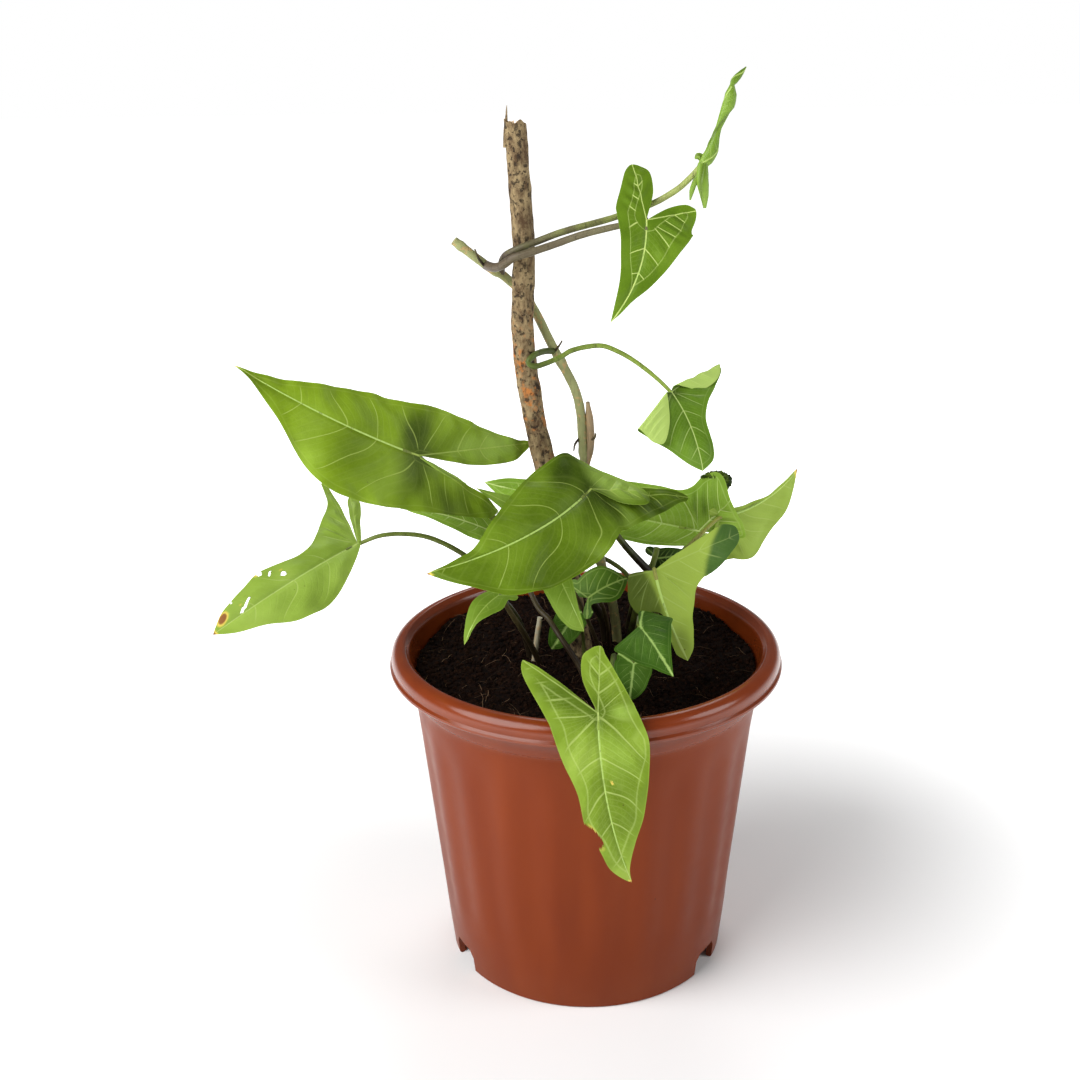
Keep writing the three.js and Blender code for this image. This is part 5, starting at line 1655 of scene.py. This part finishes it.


# A leaf's shaded spots paint shade on its blade where their depth is above 0, and light where it is below 0.
LEAVES = (
    LeafOnStalk(
        "leaf_upper_left", (-78, -40, 283), (-155, -62, 332), (0.3, -0.82, 0.45),
        (26.7, 30, 29.5, 20, 10, 2.6), (24.6, 21.3, 17.8, 12, 6.6, 2), ((53, 176, 8, 2.5), (66.5, 148, 3, 8)),
        ((12, 25, 150), (10, 21, 172), (5, 16, 185), (-4, 12, 202), (-14, 8, 213), (-30, 2, 226),
         (-49, -6, 243), (-66, -20, 262)), 1.8,
        arch=6, sweep=4, ripple=0.8, grain=Grain.FINE, side_veins=4.6, quilting=0.7, frill=0.8, dry_tip=0.5,
        painted_shade_and_light=(Spot(6, -11, 9, 13, 0, 0.75), Spot(-1, 12, 9, 12, 0, 0.4), Spot(-26, 14, 26, 11, -10, 0.55),
                Spot(-36, -23, 26, 9, 32, -0.6)),
        curls=(Roll(((-77, -40, 281.8), (-72, -37.5, 277.6), (-67.5, -34.6, 273.2), (-61, -30.3, 268),
                     (-57, -27.6, 264.8)), (0.3, 1.0, 1.3, 1.1, 0.3), 0.2, 0.5, 0.45,
                    rib_off=9.0, upper=0.0),)),
    LeafOnStalk(
        "leaf_front", (2, -32, 263), (-73, -85, 242), (0.1, -0.75, 0.6),
        (25, 28, 27.3, 25, 20.5, 10), (20.5, 24.5, 21.5, 13.5, 5, 1.5), ((57, 157, 5, 4), (33, 205, 4.5, 8)),
        ((33.4, 8, 204.9), (24.7, 0, 217), (17, -8, 229), (9, -20, 245)), 1.7,
        arch=8, sweep=8, ripple=0.8, finish=DEEP, grain=Grain.FINE, side_veins=3.2, quilting=0.8, frill=0.8,
        overlap=0.22, dry_tip=0.9,
        painted_shade_and_light=(Spot(10, -15, 13, 9, 20, 0.7), Spot(-3, 14, 7, 13, 0, 0.6),
                Spot(-21, -7, 19, 22, 0, -0.85, 0.6), Spot(-30, 20, 16, 6, -28, 0.4))),
    LeafOnStalk(
        "leaf_lower_left", (-111, -20, 233), (-170, -85, 214), (0.05, -0.75, 0.65),
        (2, 12.5, 19.5, 18.5, 11.5, 6), (23.4, 13.2, 9.8, 12.3, 9.5, 5.6),
        ((31, 233, 5, 2), (39, 107, 4.5, 3)),
        ((-28, 8, 148), (-29, 7, 162), (-34, 2, 182), (-43, -6, 199), (-50, -10, 211), (-59, -11, 222),
         (-76, -14, 233), (-88, -16, 236), (-100, -18, 236)), 1.4,
        arch=4, ripple=0.5, finish=PALE, grain=Grain.PERFORATED, side_veins=4, quilting=0.6, dry_tip=1,
        holes=(Spot(44.2, -5.3, 1.6, 1.2), Spot(49.7, -8.8, 2.0, 0.6, 35), Spot(53.7, -11.8, 1.5, 1.5),
               Spot(68, -3.2, 3.6, 0.7, 30), Spot(71.7, -1.4, 1.8, 0.6, 30), Spot(73.7, -9.5, 0.9, 2.6)),
        dry_spots=(Spot(54.5, -12.6, 3, 2.2, 20, 0.5), Spot(81.7, -3.3, 4.5, 2.4, 25),
                   Spot(44, -7.5, 1.5, 0.8, 0, 0.3), Spot(71, -4, 1.5, 0.8, 0, 0.3)),
        outlines=((), ((80.8, 5.6), (67.4, 9.5), (53.9, 12.3), (39.5, 10.5), (29, 9.5), (21.5, 11),
                       (13, 15.5), (6, 20), (-3, 25.5), (-8, 33), (-10, 37.5), (-12, 37), (-11, 30), (-7, 17)))),
    LeafOnStalk(
        "leaf_over_rim", (2.5, -98, 178.7), (17.3, -116, 101.4), (0.1, -0.95, 0.3),
        (17, 22.4, 20.3, 15.3, 8, 1.8), (22.5, 17.7, 12.6, 12, 8.7, 6.5),
        ((29, 164, 3, 8), (40, 136, 7, 1.5)),
        ((14, -2, 148), (14.5, -6, 163), (13, -30, 173), (10, -55, 177), (6, -80, 179)), 1.6,
        arch=7, sweep=-4.5, ripple=0.4, finish=FRESH, stalk_finish=GREEN, grain=Grain.FINE, side_veins=4.8,
        quilting=0.7, dry_tip=0.7, holes=(Spot(53, -11.6, 7.5, 4, 30), Spot(57, -9.1, 3.4, 3, -35)),
        dry_spots=(Spot(50, -9, 5, 1.2, 30, 0.3), Spot(60, -7.5, 1.2, 2.4, 0, 0.3),
                   Spot(31, 3.6, 1.2, 0.5, 60), Spot(46, -2.5, 1.0, 0.6, 0, 0.3)),
        painted_shade_and_light=(Spot(-10, -12, 18, 9, 50, 0.5), Spot(2, 12, 8, 4, 80, -0.6), Spot(20, 8, 14, 7, 0, -0.25))),
    LeafOnStalk(
        "leaf_right", (68.3, 8, 235), (109, 22, 254.3), (-0.2, 0.9, 0.3),
        (31, 32, 26.5, 20, 15.3, 7.6), (3, 3, 2, 1.2, 1.5, 1.2), ((36, 120, 8, 3), (8, 125, 2, 2)),
        ((31, 22, 148), (32, 20, 166), (35, 14, 185), (40, 6, 204), (46, 0, 214.6), (52, -3, 223),
         (58, -2, 229)), 1.3,
        arch=0, sweep=6, ripple=0.8, finish=UNDERSIDE, stalk_finish=RED, grain=Grain.MEDIUM, side_veins=4,
        dry_tip=1,
        # The curl is darkened with painted shade.
        curls=(Roll(((57.5, 4, 256.3), (63, 3, 257.9), (68, 4, 257.3), (70.6, 5, 254), (69.6, 6, 248.5)),
                    (0.6, 1.8, 2.2, 2.6, 2.6, 1.2), 1.4, 0.6, 0.7, 0.75, 0.22, 9.0),)),
    # The left half is darkened with painted shade, and the turned-over end shows the upper face's painted shade.
    LeafOnStalk(
        "leaf_right_hanging", (32, -35, 222.5), (47.4, -52, 182.5), (-0.35, 0.8, -0.1),
        (15, 17, 13, 1.2, 0.8, 2), (19, 22, 16, 12, 9, 5.5), ((14, 96, 3, 2), (48, 93, 13, 9)),
        ((40, 12, 148), (39, 8, 165), (36, -5, 189), (36, -22, 210)), 1.2,
        arch=4, ripple=0.4, folds=(40, 0), finish=HANGING_IN_SHADE, stalk_finish=RED, grain=Grain.MEDIUM, side_veins=4,
        dry_tip=0, quilting=0.5,
        painted_shade_and_light=(Spot(16, 42, 35.4, 35.4, 0, 0.75, 0.1), Spot(40, -1, 12, 6, 0, 0.3)),
        turned=(Spot(35, -80, 51.3, 51.3, 0, 1, 0.06),),
        outlines=(((41.5, 3.5), (34.6, 2.5), (27.7, 2), (22, 2), (18.5, 6), (17.5, 13), (10, 16), (3, 15),
                   (-2, 13), (-1.5, 6)),
                  ((41.5, 5.5), (34.6, 9), (27.7, 12), (20, 16.5), (14, 20), (11, 25), (10.5, 30), (6.5, 39),
                   (2, 46), (-1.5, 48.5), (-6.5, 47.5), (-9.5, 41), (-8.5, 35.5), (-5.5, 21.5), (-3, 10)))),
    LeafOnStalk(
        "leaf_middle_right", (41.4, -8, 303.2), (54.3, -34, 271.6), (0.35, -0.7, 0.5),
        (20, 17, 10, 8.7, 8.5, 6.5), (23, 36, 29.7, 20.3, 14.5, 7.5), ((37, 115, 5, 8), (14, 95, 0.5, 1)),
        ((-14, 5, 321), (-20, -3, 322.5), (-24.5, -7.8, 321.5), (-26.8, -9.4, 319), (-24.5, -9.5, 317),
         (-18.8, -8.4, 318), (-11, -5, 320.5), (-6, -3.5, 323), (8, -3, 325), (15.5, -4, 322.5),
         (23.5, -5, 318), (34, -7, 310)), 1.3,
        arch=3, sweep=1, bends=((197, 0.5, 168, 1.5), (144, 0.5, 172, 1.2)), finish=FOLDED, stalk_finish=GREEN,
        grain=Grain.FINE, side_veins=4, frill=0.2,
        outlines=(((38.6, 6.5), (32, 8.5), (25.7, 8.7), (17, 10), (8.6, 15.5), (0, 25), (-10, 33.5),
                   (-16.5, 28.5), (-18, 20.5), (-15.5, 11), (-9, 5.5), (-5, 2.8)),
                  ((38.5, 7.5), (32, 14.5), (26, 21), (20, 26.5), (15, 31), (10, 36), (4.5, 35), (0.5, 23),
                   (-0.5, 12)))),
    LeafOnStalk(
        "leaf_top", (28, -15, 385.4), (11, -30, 341.5), (0.1, -0.9, 0.3),
        (22.4, 16.3, 11.5, 6.8, 3, 1.2), (15, 12.5, 10, 7, 5, 2.2), ((24, 121, 8, 4), (27, 149, 5, 7)),
        ((-46, 2.6, 363), (-43.5, -2.5, 363), (-40.6, -6.5, 363.5), (-37.2, -10.5, 365.5), (-33, -13.5, 368.8),
         (-26, -14, 371), (-14, -13, 374.6), (-1, -13.5, 379), (16, -14.5, 383)), 1.8,
        arch=4, sweep=4.2, ripple=0.4, finish=MARBLED, stalk_finish=GREY, grain=Grain.FINE, side_veins=4,
        quilting=0.6, frill=0.5),
    LeafOnStalk(
        "leaf_small_variegated", (24, -54, 202), (38, -77, 186), (0.1, -0.6, 0.8),
        (12, 14, 8.7, 5, 3, 1.5), (16.5, 18, 15.5, 11.5, 8, 4), ((8, 140, 2, 2), (13, 95, 1, 1)),
        ((26, 12, 148), (26, 8, 163), (26, -12, 185), (25, -35, 198)), 1.0,
        arch=2, finish=DARK_MARBLED, grain=Grain.MEDIUM, side_veins=5, quilting=0.5,
        outlines=(((25, 3), (18, 6.5), (12, 10), (7, 13), (3.5, 15.5), (-3, 11), (-8.5, 5)),
                  ((26, 5), (17.5, 12.5), (12, 15.5), (7, 17.8), (4, 10)))),
    LeafOnStalk(
        "leaf_low_variegated", (21.3, -54, 182.4), (18.8, -64, 167.6), (0, -0.8, 0.6),
        (9, 9, 8, 7, 5.5, 3), (9, 9, 8, 7, 5.5, 3), ((9, 120, 3, 2), (9, 120, 3, 2)),
        ((21, 2, 148), (21, -2, 163), (21, -22, 174), (21, -40, 180.5)), 1.0,
        arch=2, finish=DARK_MARBLED, side_veins=5),
    LeafOnStalk(
        "leaf_under_front", (-17, -50, 234), (-2.5, -62, 203), (0, -0.9, 0.3),
        (6, 5.5, 4.5, 3, 2, 1.2), (8, 9.3, 9, 8.5, 7.5, 5), ((12, 120, 3, 2), (12, 120, 3, 2)),
        ((10, 2, 148), (9, -2, 160), (4.7, -10, 176.8), (-1.4, -20, 195.7), (-5.3, -30, 208), (-11, -41, 221)),
        1.1, arch=2, finish=SOFT, stalk_finish=BROWN, side_veins=3),
    LeafOnStalk(
        "leaf_curled", (-42, -50, 217), (-58, -70, 200.5), (0, -0.7, 0.7),
        (5, 7, 5, 2, 1, 0.8), (5, 6, 6, 4.5, 3, 1.6), ((9, 120, 2, 2), (8, 120, 2, 2)),
        ((-19, 1, 146), (-22.5, -5, 158), (-27, -12, 172.5), (-31.6, -22, 186), (-38, -37, 204)), 1.5,
        sweep=-2, finish=SOFT, stalk_finish=BROWN, side_veins=3),
    LeafOnStalk(
        "leaf_under_variegated", (0.5, -30, 206.7), (19.6, -25, 214.4), (0, -0.65, 0.75),
        (11, 12, 12, 11, 8.5, 4), (4, 6, 8.5, 8.5, 6.5, 3.5), ((14, 110, 3, 3), (10, 120, 2, 2)),
        ((13, 16, 148), (12.5, 12, 170), (9, 2, 189), (5, -12, 199)), 1.1,
        finish=VEINED, stalk_finish=BROWN, side_veins=4),
    LeafOnStalk(
        "leaf_behind_shoot", (38, 13, 210.5), (56, 17, 211.5), (0.1, -0.95, 0.3),
        (5, 5, 4.5, 3.5, 2.5, 1.5), (6, 6, 5.5, 4.5, 3.5, 2), ((8, 130, 2, 2), (8, 130, 2, 2)),
        ((33.4, 8, 205), (35.5, 10.5, 210)), 1.0, arch=2, finish=DARK),
    LeafOnStalk(
        "leaf_pale_variegated", (58.3, 12, 225.3), (-51, 36, 245.3), (0, -1, 0.08),
        (8, 12, 12, 11, 9, 5.5), (24, 19, 17, 11.5, 8, 5), ((20, 170, 4, 1), (30, 120, 12, 9)),
        ((36, 32, 148), (36, 30, 164), (40, 27, 181), (46, 24.5, 199), (54, 21, 215)), 1.5,
        arch=4, ripple=1, bends=(None, (115, 3, 25, 9)), finish=NETTED, stalk_finish=GREEN, grain=Grain.FINE,
        side_veins=6, quilting=0.7,
        outlines=((), ((102.3, 5), (85.3, 8), (68.2, 11.5), (45.5, 17), (22.7, 19), (13, 20), (7, 25),
                       (3, 31.5), (-3, 36.5), (-8, 34), (-12.5, 24), (-17.5, 16), (-22, 9.5), (-22, 2)))),
    LeafOnStalk(
        "leaf_back_left", (-12, 14, 227), (-54.2, 14, 249.3), (0, -0.95, 0.3),
        (10, 9, 7, 4.5, 2.8, 1.2), (10, 9, 7, 4.5, 2.8, 1.2), ((9, 140, 2, 2), (9, 140, 2, 2)),
        ((24, 36, 148), (24, 34, 164), (26, 24, 185), (22, 18, 200), (14, 17.5, 207), (5, 18, 212),
         (-4, 17, 219)), 1.3, arch=4, ripple=0.5, finish=SOFT),
    LeafOnStalk(
        "leaf_below_upper_left", (-42, 12, 224), (-90, -5, 246), (0, -0.6, 0.8),
        (8, 9, 8, 6, 4, 2), (10, 10, 9, 7, 4.5, 2), ((14, 140, 3, 3), (16, 140, 3, 3)),
        ((2, -36, 148), (0, -34, 161), (-4.5, -30, 171.6), (-13.7, -24, 184.7), (-19, -14, 189.5),
         (-23.5, -10, 193), (-27.4, -6, 200), (-34, 3, 212)), 1.4,
        arch=4, ripple=0.5, finish=NETTED, stalk_finish=BROWN),
    LeafOnStalk(
        "leaf_low_dark", (-5.3, -9.5, 190.6), (-17.5, -10.5, 171), (0.1, -0.9, 0.3),
        (8, 8, 7.5, 6.5, 5, 3), (8, 8, 7.5, 6.5, 5, 3), ((9, 120, 3, 2), (9, 120, 3, 2)),
        ((-1, -10, 148), (-1, -10, 160), (-1.5, -8.5, 178)), 1.0, arch=2, finish=DARK_MARBLED),
)


# ---- The rolled young leaf ----


@dataclass
class YoungLeaf:
    """A leaf still rolled round its midrib, with the ends of its two lobes hanging free."""

    rolls: tuple[Roll, ...] = (
        Roll(((51.8, -12, 407.6), (54.2, -12, 410.8), (56.5, -12, 414.2), (58.2, -12, 418.6), (59.6, -12, 423.6),
              (62, -12, 429.8), (64.2, -12, 435.6), (65, -12, 440.6), (65.6, -12, 444.6)),
             (1.6, 3.2, 3.2, 2.0, 1.5, 2.2, 2.9, 2.7, 0.7), 1.15, 3.9),
        Roll(((65, -12.6, 442.4), (66.2, -12.4, 445.2), (68.6, -11.5, 447.8), (71.8, -10, 451)),
             (0.6, 1.6, 1.6, 1.1, 0.25), 0.6, 2.4, 0.5),
        Roll(((53, -13, 410), (53, -13.6, 402.4), (54, -14, 395.4), (54.4, -14, 390.2)), (2.4, 2.9, 2.9, 2.1, 0.8),
             0.25, 1.2, 0.6),
        Roll(((51.4, -12.4, 405), (49.2, -12.5, 400), (48, -12, 393.6)), (1.2, 1.5, 1.2, 0.4), 0.3, 2.0, 0.7),
        Roll(((53.6, -11.5, 411.6), (51.2, -11.8, 413.2), (49.8, -12, 411.8)), (1.2, 1.8, 1.6, 0.5),
             0.3, 1.0, 0.8),
    )
    stalk: Route = (
        (-39, 7, 358), (-38.5, 1, 364), (-37, -4.5, 368), (-34.3, -8.5, 370.5), (-29, -10, 373),
        (-21.4, -9.4, 375.7), (-10.3, -9, 379.6), (14, -6.5, 385.6), (32, -5, 391.6), (42.4, -8, 398),
        (47.7, -11, 403.2), (52.5, -12, 408.5))
    stalk_radii: tuple[float, ...] = (1.8, 1.65, 1.5, 1.4)
    finish: LeafFinish = YOUNG
    stalk_finish: StalkFinish = FADING

    def build(self) -> None:
        """Makes the rolled blade and its stalk."""
        dress(rolled_mesh("leaf_young_roll", self.rolls, self.finish), Slot.LEAF, "leaf_young")
        stalk = GROWER.grow("leaf_young_stalk", [Strand(self.stalk, self.stalk_radii)],
                            self.stalk_finish.material(), knob_height=0.25)
        dress(stalk, Slot.STALK, "leaf_young")


# ---- The whole plant ----


def main(cad_box: Any) -> None:
    """Builds the scene.
    """
    StudioCamera().build()
    Studio().build()
    PlantPot().build()
    LOG.info("pot made")
    SoilBed().build()
    LOG.info("soil made")
    BranchStake().build()
    LOG.info("branch made")
    ClimbingStems().build()
    LOG.info("climbing stems made")
    for leaf in LEAVES:
        leaf.build()
        LOG.info("%s made", leaf.name)
    YoungLeaf().build()
    LOG.info("young leaf made")


if __name__ == "__main__":
    logging.basicConfig(level=logging.INFO, format="%(message)s")
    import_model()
    main(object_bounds())
